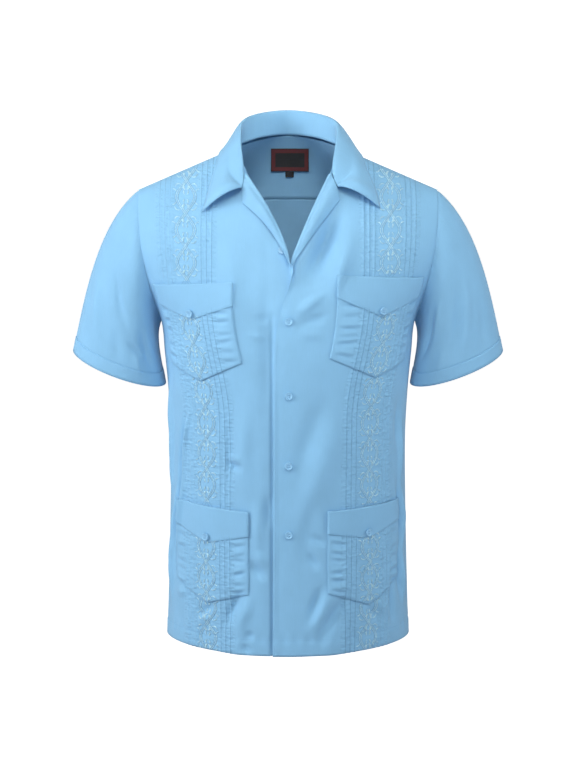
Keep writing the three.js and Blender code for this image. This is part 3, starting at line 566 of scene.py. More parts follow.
def turned_edge(risen, z, side, places):
    """The cloth from the lapel's edge to the line where it lies on the chest, as points, one row for each z.
    It leaves the form at the turn line, curls round an arc through the turn and runs on straight."""
    at_break, at_collar, power, opens, opened = ROLLS[side]
    edge = np.interp(z, EDGES[side][:, 0], EDGES[side][:, 1])
    edge_under = np.interp(FLAT_BELOW, EDGES[side][:, 0], EDGES[side][:, 1])
    upper = mix(at_break, at_collar, np.clip((z - BREAK_Z) / (COLLAR_Z - BREAK_Z), 0, 1) ** power)
    middle = mix(edge_under + FLAT_TURN, at_break, (z - FLAT_BELOW) / (BREAK_Z - FLAT_BELOW))
    base = np.where(z < FLAT_BELOW, edge + FLAT_TURN, np.where(z < BREAK_Z, middle, upper))
    turn = LAPEL_TURN * smooth((z - opens) / (opened - opens))
    t = np.clip((risen - LAPEL_START) / (1 - LAPEL_START), 0, 1)[:, None] ** LAPEL_EDGE_POWER
    first, bend, tip = LAPELS[side]
    rim = (1 - t) ** 2 * first + 2 * t * (1 - t) * bend + t**2 * tip
    lapel_width = np.hypot(rim[:, 0] - base, rim[:, 1] - z)
    flat = mix(base - edge, BREAK_TURN, smooth((z - NARROWS) / CHANGE_OVER))
    width = mix(flat, FOLD_CLOTH + lapel_width, smooth((z - WIDENS) / CHANGE_OVER))[:, None]
    fold, turn = np.minimum(FOLD_CLOTH, FOLD_SHARE * width), turn[:, None]
    cloth = np.where(places < 1, places * fold, fold + (places - 1) * (width - fold))
    angle = turn * np.minimum(1, cloth / fold)
    radius = fold / np.maximum(turn, 1e-4)
    is_flat = turn < FLAT_ANGLE
    rest = np.maximum(0, cloth - fold)
    inward = np.where(is_flat, np.minimum(cloth, fold), radius * np.sin(angle)) + rest * np.cos(turn)
    height = np.where(is_flat, 0, radius * (1 - np.cos(angle))) + rest * np.sin(turn)
    back = np.where(inward < 0, -inward / np.maximum(0.001, lapel_width)[:, None], 0)
    s = np.where(inward < 0, mix(base[:, None], rim[:, :1], back), base[:, None] - inward)
    at_z = mix(np.broadcast_to(z[:, None], s.shape), rim[:, 1:], back)
    belly = LAPEL_BELLY * smooth((z[:, None] - BELLY_FROM) / BELLY_OVER) * smooth(back * 3)
    return on_front(s, at_z, side, height + belly * np.sin(np.pi * np.clip(back, 0, 1))), base


ROW_STEP = 0.004
# the front's upper edge from the lapel's turn line along the neckline and the shoulder to the strip
CHEST_TOP = np.array([[0.061, -0.038], [0.067, -0.018], [0.075, 0.002], [0.090, 0.0], [0.107, 0.0]])
STRIP_COLUMNS = np.unique(np.round(np.concatenate([
    np.linspace(-0.019, 0.019, 15), [-STRIP_HALF - 0.0002, STRIP_HALF],
    (TUCKS[:, None] + [-TUCK_RISE, -TUCK_RISE / 2, -0.0003, 0.0002, TUCK_FALL, 0.0024]).ravel()]), 6))


def panel_rows(low, count):
    """Rows of a panel: level ones from the hem to the underarm, then ones that share the way to its top.
    Returns their heights, row fractions above the underarm and how many are below it."""
    under = np.linspace(low, UNDERARM[1], int((UNDERARM[1] - low) / ROW_STEP), endpoint=False)
    z = np.concatenate([under, np.full(count, UNDERARM[1])])
    return z, np.concatenate([np.zeros(len(under)), np.linspace(0, 1, count)]), len(under)


UPPER_ROWS = 70
LAPEL_COLUMNS, FOLD_COLUMNS, CHEST_COLUMNS, SIDE_COLUMNS = 16, 14, 44, 26
EDGE_CLOTH = 0.020  # of the flat coordinates, for each of the edge's two parts


def front_panel(side):
    """A front as a grid: edge and lapel, chest, strip and side. Returns points and flat coordinates."""
    level_z, v, under = panel_rows(HEM_Z, UPPER_ROWS)
    risen = rise(v)
    is_upper = np.arange(len(v)) >= under

    def height_of(top):
        """Heights of all rows of columns that end at these tops."""
        return np.where(is_upper[:, None], mix(UNDERARM[1], top, risen[:, None]), level_z[:, None])

    turn_z = height_of(np.array([[COLLAR_Z]]))[:, 0]
    places = np.concatenate([np.linspace(2, 1, LAPEL_COLUMNS, endpoint=False),
                             np.linspace(1, 0, FOLD_COLUMNS)])
    edge_points, base = turned_edge(risen, turn_z, side, places)
    edge_s = base[:, None] - places * EDGE_CLOTH

    share = np.linspace(0, 4, CHEST_COLUMNS + 1)[1:]
    top_x = np.interp(share, range(5), CHEST_TOP[:, 0])
    top_z = np.where(share > 2, shoulder_height(top_x), np.interp(share, range(5), CHEST_TOP[:, 1]))
    strip_top = seam_height(strip_centre(0.0) + STRIP_COLUMNS, FRONT)
    strip_z = height_of(strip_top[None, :])
    strip_s = strip_centre(strip_z) + STRIP_COLUMNS
    chest_z = height_of(top_z[None, :])
    top_share = (top_x - CHEST_TOP[0, 0]) / (CHEST_TOP[-1, 0] - CHEST_TOP[0, 0])
    chest_share = np.where(is_upper[:, None], mix(share / 4, top_share, v[:, None]), share / 4)
    chest_s = mix(base[:, None], strip_s[:, :1], chest_share)
    arm_s, arm_z = armhole(v, FRONT)
    arm_s = np.where(is_upper, arm_s, reach(level_z, FRONT))[:, None]
    arm_z = np.where(is_upper, arm_z, level_z)[:, None]
    out = np.linspace(0, 1, SIDE_COLUMNS + 1)[1:]
    side_s, side_z = mix(strip_s[:, -1:], arm_s, out), mix(strip_z[:, -1:], arm_z, out)
    s = np.concatenate([chest_s[:, :-1], strip_s, side_s], axis=1)
    z = np.concatenate([chest_z[:, :-1], strip_z, side_z], axis=1)
    points = np.concatenate([edge_points, on_front(s, z, side)], axis=1)
    flat_z = np.concatenate([np.repeat(turn_z[:, None], len(places), axis=1), z], axis=1)
    return points, np.stack([np.concatenate([edge_s, s], axis=1), flat_z], axis=-1)


def add_grid(name, points, flat, side="left", closed=False, wall=0.0008, offset=-1.0):
    """A sheet of cloth from a grid of points, with its flat coordinates as UVs. Its faces look the way that
    across times up points, the other way round for the wearer's right. Solidify gives it its thickness."""
    rows, columns = points.shape[:2]
    spans = columns if closed else columns - 1
    r, c = np.meshgrid(np.arange(rows - 1), np.arange(spans), indexing="ij")
    right_of = (c + 1) % columns
    near, far = r * columns, (r + 1) * columns
    quads = np.stack([near + c, near + right_of, far + right_of, far + c], -1).reshape(-1, 4)
    if side == "right":
        quads = quads[:, ::-1]
    piece = add_object(name, points, quads.tolist(), smooth=True)
    uv = piece.data.uv_layers.new(name="cloth")
    corner = np.empty(len(piece.data.loops), dtype=np.int32)
    piece.data.loops.foreach_get("vertex_index", corner)
    uv.data.foreach_set("uv", flat.reshape(-1, 2)[corner].astype(np.float32).ravel())
    thick = piece.modifiers.new("wall", "SOLIDIFY")
    thick.thickness, thick.offset = wall, offset
    return piece


REPEAT = 0.0465  # height of one oval of the embroidery
WAVE = 0.0125  # how far its lines swing from the strip's centre
LINE_APART = 0.0015  # half the gap of a double line
LINE_WIDTH = 0.0011

BLUE = (0.215, 0.450, 0.700)
THREAD_PITCH = 0.00045
TUCKED_FROM, PUCKER_MARGIN = 0.0185, 0.004  # the cloth that puckers, from the centre line and past the strip
# width of the painted shade band beside each line of the embroidery
EMBROIDERY_SHADE_WIDTH = 0.0009
PAINTED_SHADE_SHARE = 0.55  # how much of the painted shadow colour the cloth takes beside the embroidery's lines and just past each tuck's crest


def dyed(*shares):
    """The cloth's blue with each channel multiplied."""
    return tuple(c * share for c, share in zip(BLUE, shares)) + (1,)


def poplin(name, strip=False):
    """Plain-weave poplin. The weave is a product of two sines on the flat coordinates, with slubs along the
    threads and cloudy unevenness. On the fronts the tucked cloth beside the embroidery also puckers, and
    painted shade darkens the cloth in narrow bands beside the embroidery's lines and just past each tuck's
    crest."""
    material, shader = new_material(name, Roughness=0.72, Sheen_Weight=0.25, Sheen_Roughness=0.45)
    shader.inputs["Specular IOR Level"].default_value = 0.3
    shader.inputs["Sheen Tint"].default_value = (0.75, 0.90, 1.0, 1)
    flat = start(shader, output="UV")
    u, v = flat.part(0), flat.part(1)
    turns = 2 * np.pi / THREAD_PITCH
    weave = (u * turns).math("SINE") * (v * turns).math("SINE")
    slub = flat.stretched(900, 40).noise(1.0)
    tone = (flat.noise(26.0, 3.0) * 0.6 + slub * 0.4).spread(0.3, 0.7)
    colour = tone.blend(dyed(0.95, 0.95, 0.95), dyed(1.04, 1.04, 1.04))
    height = weave * 0.00003 + slub * 0.00008
    if strip:
        centre = v.spread(LEAN_FROM, LEAN_TO, STRIP_LOW, STRIP_HIGH, "SMOOTHSTEP")
        aside = u - centre
        offset = aside.math("ABSOLUTE")
        tucked = offset.between(TUCKED_FROM, STRIP_HALF + PUCKER_MARGIN)
        pucker = flat.stretched(95, 250).noise(1.0, 1.0) * (0.0011 + tucked * 0.0013)
        height = height + pucker * offset.math("LESS_THAN", STRIP_HALF + PUCKER_MARGIN)
        turn = v * (np.pi / REPEAT)
        swing = turn.math("SINE").math("ABSOLUTE") * (1 - (turn * 2).math("COSINE") * 0.12) * WAVE
        # Painted shade: narrow bands beside each line of the embroidery and just past each tuck's steep crest
        # are darkened towards a deeper blue, standing in for the shadows that the satin and the crests would
        # cast.
        past = (offset - swing).math("ABSOLUTE") - (LINE_APART + LINE_WIDTH / 2)
        line = past.between(0.0, EMBROIDERY_SHADE_WIDTH)
        for crest in TUCKS:
            line = line + (aside * np.sign(crest) - abs(crest)).between(0.0002, 0.0013)
        colour = (line * PAINTED_SHADE_SHARE).math("MINIMUM", 1.0).blend(colour, dyed(0.4, 0.5, 0.6))
    plug(0.66 + slub * 0.14, shader, "Roughness")
    plug(colour, shader, "Base Color")
    plug(height.bump(1.0, 1.0), shader, "Normal")
    return material


front_cloth = poplin("poplin_tucked", strip=True)
for side in ("left", "right"):
    points, flat = front_panel(side)
    panel = add_grid(f"shirt_front_{side}", points, flat, side)
    panel.data.materials.append(front_cloth)
    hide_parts(f"front_{side}")
    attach(panel, "root")

# ---------------------------------------------------------------- back and yoke
# The back is one plain panel. The yoke is the doubled piece across the shoulders that it is sewn to.

YOKE_V = 6 / 9  # row fraction of the armhole at which the yoke seam starts
YOKE_Z = -0.080  # its height at the centre back
BACK_NECK_RISE = 0.016  # the back neckline's height over the neck point
BACK_FOLDS = np.array([  # as FRONT_FOLDS
    [-96, -330, -100, -790, 0, 24, 8], [84, -360, 84, -790, 0, 24, 8], [-20, -420, -20, -790, 0, 22, -5],
    [150, -300, 150, -620, 0, 20, 6],
]) / 1000


def back_relief(s, z):
    """How far the back stands out of the form: its folds, fading out at the sides, and its hem."""
    return along_folds(s, z, BACK_FOLDS) * smooth((reach(z, BACK) - np.abs(s)) / SIDE_FADE) + hem_height(s, z)


def on_back(s, z, lift=0.0):
    """A point of the back's right side. Here s runs from the centre to the wearer's left, below zero to the
    right."""
    s, z = np.broadcast_arrays(np.asarray(s, float), np.asarray(z, float))
    return on_form(s, z, BACK) + form_normal(s, z, BACK) * (back_relief(s, z) + lift)[..., None]


def yoke_seam(share):
    """Height of the yoke seam over the share of the way out: level at the centre, falling to the armhole."""
    return mix(YOKE_Z, armhole(YOKE_V, BACK)[1], share**2)


BACK_ROWS, YOKE_ROWS = 42, 30
NECK_SHARE = 4 / 9  # share of the yoke's half width that lies along the neckline
YOKE_LIFT = 0.0004

level_z, v, under = panel_rows(HEM_Z, BACK_ROWS)
is_upper = (np.arange(len(v)) >= under)[:, None]
share = np.linspace(-1, 1, 121)
v = v * YOKE_V
yoke_share = (rise(v) / rise(YOKE_V))[:, None]
arm_s, arm_z = armhole(v, BACK)
arm_s = np.where(is_upper[:, 0], arm_s, reach(level_z, BACK))[:, None]
z = np.where(is_upper, mix(UNDERARM[1], yoke_seam(np.abs(share))[None, :], yoke_share), level_z[:, None])
s = share * arm_s
back_cloth = poplin("poplin_plain")
back = add_grid("shirt_back", on_back(s, z), np.stack([s, z], -1), "right")
back.data.materials.append(back_cloth)
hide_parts("back")
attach(back, "root")

v = np.linspace(YOKE_V, 1, YOKE_ROWS)
yoke_share = ((rise(v) - rise(YOKE_V)) / (1 - rise(YOKE_V)))[:, None]
out = np.abs(share)
top_x = np.interp(out, [0, NECK_SHARE, 1], [0, NECK_POINT[0], SHOULDER_POINT_X])
neck_z = NECK_POINT[1] + BACK_NECK_RISE * np.cos(np.pi / 2 * np.minimum(1, top_x / NECK_POINT[0]))
top_z = np.where(out < NECK_SHARE, neck_z, shoulder_height(top_x))
z = mix(yoke_seam(out)[None, :], top_z[None, :], yoke_share)
s = mix(out * armhole(YOKE_V, BACK)[0], length_to(top_x, top_z, BACK), yoke_share)
edge_s, edge_z = armhole(v, BACK)
for end in (0, -1):
    s[:, end], z[:, end] = edge_s, edge_z
s = s * np.sign(share)
yoke = add_grid("shirt_yoke", on_back(s, z, YOKE_LIFT), np.stack([s, z], -1), "right", wall=0.0014)
yoke.data.materials.append(back_cloth)
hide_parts("yoke")
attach(yoke, "root")

# ---------------------------------------------------------------- sleeves
# Short set-in sleeves that hang from the armholes. The mouth is turned up and stitched as a plain hem.

CUFF_OUTER, CUFF_INNER = np.array([0.324, -0.301]), np.array([0.1855, -0.352])  # x and z of the mouth's ends
CUFF_HALF_DEPTH, CUFF_FRONT_DROP = 0.050, 0.011
# How the cloth leaves the armhole and arrives at the mouth, on the outer side and under the arm.
SLEEVE_TOP = np.array([[0.188, -0.148], [0.057, -0.253]])
SLEEVE_UNDER = np.array([[0.034, -0.050], [-0.014, -0.092]])
SLEEVE_BULGE = 0.034  # how far the cloth first runs forwards and backwards

SLEEVE_SIDES, SLEEVE_ROWS = 120, 50  # columns round it and rows above the hem's
MEASURED_RINGS = 120  # rings that measure the way down the sleeve
SLEEVE_HEM = 0.0205  # from the mouth to its stitching
HEM_ROWS = np.array([0.0240, 0.0228, 0.0218, 0.0211, 0.0204, 0.0196, 0.0186, 0.0150, 0.0100, 0.0050, 0.0])
ALLOWANCE, ALLOWANCE_UNDER = 0.007, 0.0024  # cloth that runs on under the body's, and how deep it lies there
GIRTH_SCALE = 0.066  # turns an angle round a sleeve into a length
SEAM_FADE, SEAM_DIP, SEAM_DIP_HALF = 0.03, 0.0010, 0.003  # folds fade out and the cloth dips at the seam
SLEEVE_LAYER, LAYER_STEP, SLEEVE_GROOVE, SLEEVE_GROOVE_HALF = 0.0008, 0.0012, 0.0008, 0.0010
SLEEVE_FOLDS = {  # as FRONT_FOLDS: length round from the outer edge to the front, and way from the mouth
    "left": np.array([
        [94, 150, 114, 12, 2, 8.5, -4.2], [78, 160, 98, 10, 2, 9, 4], [54, 110, 62, 12, 1, 8, -2.6],
        [158, 130, 176, 30, 3, 8, -6], [144, 135, 150, 70, 1, 6, 3.4], [128, 60, 140, 10, 1, 7, 2.4],
        [300, 150, 310, 10, 2, 11, -4.5], [340, 120, 345, 10, 2, 10, 3],
    ]) / 1000,
    "right": np.array([
        [86, 165, 122, 70, 3, 7, -3.2], [44, 160, 80, 10, 4, 10, 3.6], [114, 62, 152, 46, 2, 5, -3.4],
        [148, 100, 168, 10, 3, 10, -5], [132, 52, 142, 10, 1, 6, 2.6], [100, 80, 106, 12, 2, 8, -2.2],
        [305, 150, 300, 10, 2, 11, -4.5], [345, 120, 350, 10, 2, 10, 3],
    ]) / 1000,
}


def sleeve_grid(side):
    """Rings from the armhole to the mouth, closer together at the hem. A cubic joins each point of the
    armhole to one of the mouth's ellipse. Returns the points, a ring of seam allowance under the body, and
    the way to the mouth at each point."""
    turn = np.linspace(0, 2 * np.pi, SLEEVE_SIDES, endpoint=False)
    v = np.abs(1 - turn / np.pi)
    rings = []
    for inset, lift in ((0, 0), (ALLOWANCE, -ALLOWANCE_UNDER)):
        s, z = armhole(v, FRONT)
        front = mirror(on_front(s - inset, z, side, lift), side)
        s, z = armhole(v, BACK)
        back = mirror(on_back((s - inset) * (1 if side == "left" else -1), z, lift), side)
        rings.append(np.where((turn <= np.pi)[:, None], front, back))
    hole, allowance = rings
    under = ((1 - np.cos(turn)) / 2)[:, None]
    leave, arrive = (mix(SLEEVE_TOP[i], SLEEVE_UNDER[i], under) for i in (0, 1))
    centre, half = (CUFF_OUTER + CUFF_INNER) / 2, (CUFF_OUTER - CUFF_INNER) / 2
    mouth = np.stack([centre[0] + half[0] * np.cos(turn), -CUFF_HALF_DEPTH * np.sin(turn),
                      centre[1] + half[1] * np.cos(turn) - CUFF_FRONT_DROP * np.sin(turn)], -1)
    start_way = np.stack([leave[:, 0], -SLEEVE_BULGE * np.sin(turn), leave[:, 1]], -1)
    end_way = np.stack([arrive[:, 0], 0 * turn, arrive[:, 1]], -1)

    def ring_at(t):
        """The ring of points that lie at t of their ways."""
        return cubic(t[..., None], hole, start_way, mouth, end_way)

    even = np.linspace(0, 1, MEASURED_RINGS)
    steps = np.linalg.norm(np.diff(ring_at(even[:, None] + 0 * turn), axis=0), axis=-1)
    passed = np.concatenate([0 * turn[None], np.cumsum(steps, axis=0)])
    upper = mix(passed[-1], HEM_ROWS[0], np.linspace(0, 1, SLEEVE_ROWS, endpoint=False)[:, None])
    to_mouth = np.concatenate([upper, HEM_ROWS[:, None] + 0 * turn])
    t = np.stack([np.interp(passed[-1, c] - to_mouth[:, c], passed[:, c], even) for c in range(len(turn))], 1)
    return ring_at(t), allowance, turn, to_mouth


def grid_normals(points, closed=False):
    """Which way a grid of points faces: the differences of its neighbours, across times up."""
    if closed:
        across = np.roll(points, -1, axis=1) - np.roll(points, 1, axis=1)
    else:
        across = np.gradient(points, axis=1)
    return unit(np.cross(across, np.gradient(points, axis=0)))


sleeve_cloth = poplin("poplin_sleeve")
sleeve_grids = {}
for side in ("left", "right"):
    points, allowance, turn, to_mouth = sleeve_grid(side)
    normals = -grid_normals(points, closed=True)
    outward = points - points.mean(axis=1, keepdims=True)
    normals *= np.sign(np.sum(normals * outward, axis=-1, keepdims=True))
    from_seam, from_hem = to_mouth[0] - to_mouth, to_mouth - SLEEVE_HEM
    height = along_folds(turn * GIRTH_SCALE, to_mouth, SLEEVE_FOLDS[side]) * smooth(from_seam / SEAM_FADE)
    height -= SEAM_DIP * bell(from_seam, SEAM_DIP_HALF)
    height += SLEEVE_LAYER * (1 - smooth(from_hem / LAYER_STEP + 0.5))
    height -= SLEEVE_GROOVE * bell(from_hem - LAYER_STEP / 2, SLEEVE_GROOVE_HALF)
    points = mirror(np.concatenate([allowance[None], points + normals * height[..., None]]), side)
    to_mouth = np.concatenate([to_mouth[:1] + ALLOWANCE, to_mouth])
    around = np.cumsum(np.linalg.norm(np.diff(points, axis=1, prepend=points[:, -1:]), axis=-1), axis=1)
    flat = np.stack([around, to_mouth], -1)
    sleeve_grids[side] = points
    sleeve = add_grid(f"shirt_sleeve_{side}", points, flat, side, closed=True)
    sleeve.data.materials.append(sleeve_cloth)
    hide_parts(f"sleeve_{side}")
    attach(sleeve, "root")

# ---------------------------------------------------------------- collar
# A one-piece camp collar of two layers with interlining. It stands up at the neck seam, folds over and its
# leaves lie on the fronts, with an open notch above each lapel.

# Four lines from the front end to the centre back, as x, y, z and lift. Where y is None the point lies on the
# front of the form, lift clear of it.
COLLAR = {
    "seam": [(0.065, None, -0.035, 0.0018), (0.067, None, -0.023, 0.0016), (0.0715, None, -0.008, 0.0018),
             (0.0755, 0.0, 0.0035, 0), (0.064, 0.022, 0.0085, 0), (0.040, 0.050, 0.016, 0),
             (0, 0.0785, 0.0195, 0)],
    "fold": [(0.065, None, -0.0355, 0.006), (0.066, None, -0.020, 0.009), (0.070, -0.034, 0.002, 0),
             (0.073, -0.004, 0.024, 0), (0.071, 0.026, 0.039, 0), (0.048, 0.060, 0.050, 0),
             (0, 0.077, 0.056, 0)],
    "leaf": [(0.0745, None, -0.057, 0.008), (0.092, None, -0.038, 0.013), (0.095, -0.036, -0.012, 0),
             (0.094, -0.006, 0.008, 0), (0.089, 0.034, 0.018, 0), (0.061, 0.077, 0.026, 0),
             (0, 0.098, 0.030, 0)],
    "edge": [(0.134, None, -0.085, 0.005), (0.128, None, -0.060, 0.006), (0.116, None, -0.032, 0.006),
             (0.108, 0.002, -0.0085, 0), (0.097, 0.042, -0.009, 0), (0.064, 0.092, -0.009, 0),
             (0, 0.112, -0.010, 0)],
}
COLLAR_RIGHT = {  # the right end's first five stations differ: its leaf reaches lower and less far out
    "seam": COLLAR["seam"][:5],
    "fold": [*COLLAR["fold"][:2], (0.069, -0.034, 0.002, 0), (0.070, -0.004, 0.024, 0),
             (0.068, 0.026, 0.039, 0)],
    "leaf": [(0.069, None, -0.059, 0.008), (0.086, None, -0.038, 0.013), (0.088, -0.036, -0.012, 0),
             (0.087, -0.006, 0.009, 0), (0.083, 0.034, 0.018, 0)],
    "edge": [(0.124, None, -0.090, 0.005), (0.117, None, -0.064, 0.006), (0.108, None, -0.032, 0.007),
             (0.100, 0.002, -0.004, 0), (0.091, 0.042, -0.008, 0)],
}


def collar_points(stations):
    """Stations as points: where y is left out, the point lies on the front of the form, lift clear of it."""
    return np.array([[x, -depth_at(x, z, FRONT) - lift if y is None else y, z] for x, y, z, lift in stations])


def spline(knots, t):
    """Centripetal Catmull-Rom curve through knots (first axis), at parameters t from 0 to 1."""
    knots = np.concatenate([[2 * knots[0] - knots[1]], knots, [2 * knots[-1] - knots[-2]]])
    place = np.clip(t * (len(knots) - 3), 0, len(knots) - 3 - 1e-9)
    first = np.floor(place).astype(int)
    w = (place - first).reshape([-1] + [1] * (knots.ndim - 1))
    p0, p1, p2, p3 = (knots[first + k] for k in range(4))
    d0, d1, d2 = (np.sqrt(np.linalg.norm(b - a, axis=-1, keepdims=True))
                  for a, b in ((p0, p1), (p1, p2), (p2, p3)))
    m1 = ((p1 - p0) / d0 - (p2 - p0) / (d0 + d1) + (p2 - p1) / d1) * d1
    m2 = ((p2 - p1) / d1 - (p3 - p1) / (d1 + d2) + (p3 - p2) / d2) * d1
    return p1 + m1 * w + (3 * (p2 - p1) - 2 * m1 - m2) * w**2 + (2 * (p1 - p2) + m1 + m2) * w**3


COLLAR_ROWS, COLLAR_CUT_DEPTH = 181, 0.12
ARCH_RISE, ARCH_ROW, ARCH_HALF = 0.0105, 3, 9.0  # each leaf's lower edge springs up from the notch in an arch
BELLY_OUT, BELLY_ROW, BELLY_HALF = (0, -0.0100, 0.0010), 6, 16.0  # and its middle stands out
LEAF_FROM = 1.9  # where both start, on the way from the seam (0) to the edge (3)

lines = []
for name in COLLAR:
    left = collar_points(COLLAR[name])
    right = np.concatenate([collar_points(COLLAR_RIGHT[name]), left[5:-1]]) * [-1, 1, 1]
    lines.append(spline(np.concatenate([left, right[::-1]]), np.linspace(0, 1, COLLAR_ROWS)))
# columns from the seam to the edge, closest together round the fold
across = np.concatenate([np.linspace(0, 0.8, 9), np.linspace(0.8, 1.3, 11)[1:], np.linspace(1.3, 3, 22)[1:]])
collar_grid = np.swapaxes(spline(np.array(lines), across / 3), 0, 1)
from_end = np.minimum(np.arange(COLLAR_ROWS), np.arange(COLLAR_ROWS)[::-1])[:, None]
leaf_share = np.clip((across - LEAF_FROM) / (3 - LEAF_FROM), 0, 1)
arch = bell(from_end - ARCH_ROW, ARCH_HALF) * np.sin(np.pi * leaf_share**0.9)
belly = bell(from_end - BELLY_ROW, BELLY_HALF) * np.sin(np.pi * leaf_share)
collar_grid += arch[..., None] * [0, 0, ARCH_RISE] + belly[..., None] * BELLY_OUT
edge_steps = np.diff(collar_grid[:, -1], axis=0, prepend=collar_grid[:1, -1])
collar_run = np.cumsum(np.linalg.norm(edge_steps, axis=-1))
collar_flat = np.stack(np.broadcast_arrays(collar_run[:, None], across * COLLAR_CUT_DEPTH / 3), -1)
collar = add_grid("shirt_collar", collar_grid, collar_flat, "left", wall=0.0016, offset=0.0)
collar_cloth = poplin("poplin_collar")
collar.data.materials.append(collar_cloth)
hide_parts("collar")
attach(collar, "root")

# ---------------------------------------------------------------- pockets and flaps
# Four patch pockets with pointed bottoms, tucked and embroidered like the strips that they lie on. A plain
# pointed flap is sewn over each and buttons down.

# Sides from the strip's centre line and the flap's point; heights of the top, the bottom corners, the tip,
# the flap's corners and the button.
POCKETS = {
    "chest_left":
        (-0.080, 0.062, -0.010, (-0.180, -0.186), (-0.297, -0.307), -0.329, (-0.211, -0.214), -0.231),
    "chest_right":
        (-0.072, 0.062, -0.004, (-0.190, -0.196), (-0.304, -0.312), -0.334, (-0.223, -0.224), -0.235),
    "lower_left":
        (-0.068, 0.066, -0.004, (-0.523, -0.518), (-0.646, -0.636), -0.670, (-0.557, -0.548), -0.559),
    "lower_right":
        (-0.068, 0.066, -0.001, (-0.524, -0.516), (-0.648, -0.638), -0.667, (-0.561, -0.552), -0.566),
}
POCKET_LIFT, POCKET_WALL = 0.0021, 0.0006  # its right side over the front's, and its thickness
FLAP_LIFT, FLAP_WALL = 0.0036, 0.0010
FLAP_OVERHANG = 0.0008  # past the pocket's sides
POCKET_ROWS, FLAP_ROWS, FLAP_COLUMNS = 76, 20, 41
FLAP_BELOW_BUTTON = 0.010
COVER_FADE = 0.010  # puckers die out over this height under the flap
POCKET_FULL, POCKET_FULL_OVER, POCKET_PRESS, POCKET_PRESS_OVER = 0.0005, 0.030, 0.0006, 0.004
FLAP_FULL, FLAP_FULL_OVER, FLAP_PRESS, FLAP_PRESS_OVER = 0.0004, 0.02, 0.0005, 0.003

PUCKER_COUNTS = (6, 5)  # beside the strip towards the front and towards the side
PUCKER_INSET, PUCKER_END = 0.001, 0.036  # from the pocket's edge, and from the strip's centre line
PUCKERS_TOP, PUCKERS_BOTTOM = 0.010, 0.004  # from the flap's corner down, and from the lower corner up
PUCKER_SHIFT, PUCKER_SLANT, PUCKER_DROP = 0.004, 0.006, 0.003
PUCKER_DEPTH, DEPTH_SPREAD = 0.0017, 0.0007
PUCKER_BOW, TROUGH_HALF = 0.001, 0.0032
RIDGE_OVER, RIDGE_HALF, RIDGE_SHARE = 0.0062, 0.0036, 0.75  # a pucker's ridge, over its trough


def patch_bottom(offset, inner, outer, middle, corners, tip):
    """A pocket's or flap's lower edge: two straight lines that meet at its point."""
    return np.where(offset < middle, mix(tip, corners[0], (offset - middle) / (inner - middle)),
                    mix(tip, corners[1], (offset - middle) / (outer - middle)))


def patch(side, columns, tops, bottom, rows, lift, tucks):
    """A patch on a front as a grid from its lower edge to its top. Its edges are pressed flat on the
    front."""
    top = mix(tops[0], tops[1], (columns - columns[0]) / (columns[-1] - columns[0]))
    up = np.linspace(0, 1, rows)[:, None]
    z = mix(bottom[None, :], top[None, :], up)
    s = strip_centre(z) + columns
    edge = np.minimum.reduce([z - bottom, columns - columns[0] + 0 * z, columns[-1] - columns + 0 * z])
    return on_front(s, z, side, lift(columns + 0 * z, z, edge), tucks), np.stack([s, z], -1)


def pocket_puckers(name, seed):
    """Creases that the tight embroidery draws into a pocket: short level troughs, each with a ridge over
    it, on both sides of the strip, unevenly spaced and slanted."""
    draw = np.random.default_rng(seed)
    inner, outer, _, tops, corners, _, flap_corners, _ = POCKETS[name]
    folds = []
    for start_u, end_u, count in ((inner + PUCKER_INSET, -PUCKER_END, PUCKER_COUNTS[0]),
                                  (outer - PUCKER_INSET, PUCKER_END, PUCKER_COUNTS[1])):
        heights = np.linspace(flap_corners[0] - PUCKERS_TOP, corners[0] + PUCKERS_BOTTOM, count)
        for z, shift, slant, size in zip(heights, *draw.uniform(-1, 1, (3, count))):
            z += PUCKER_SHIFT * shift
            drop, depth = PUCKER_SLANT * slant - PUCKER_DROP, PUCKER_DEPTH + DEPTH_SPREAD * size
            folds.append((start_u, z, end_u, z + drop, PUCKER_BOW, TROUGH_HALF, -depth))
            z += RIDGE_OVER
            folds.append((start_u, z, end_u, z + drop, PUCKER_BOW, RIDGE_HALF, RIDGE_SHARE * depth))
    return folds


def pocket_lift(offset, z, edge, folds, cover):
    """Flat at the stitched edge and under the flap, fuller inside, with its puckers."""
    shown = 1 - smooth((z - cover) / COVER_FADE)
    puckers = along_folds(offset, z, folds) * smooth(edge / POCKET_PRESS_OVER + 0.2)
    full = POCKET_FULL * smooth(edge / POCKET_FULL_OVER) + puckers
    return POCKET_LIFT - POCKET_PRESS * (1 - smooth(edge / POCKET_PRESS_OVER)) + full * shown


def flap_lift(edge):
    """Flat on the pocket, its stitched edge pressed down and its middle a little fuller."""
    pressed = FLAP_PRESS * (1 - smooth(edge / FLAP_PRESS_OVER))
    return FLAP_LIFT - pressed + FLAP_FULL * smooth(edge / FLAP_FULL_OVER)


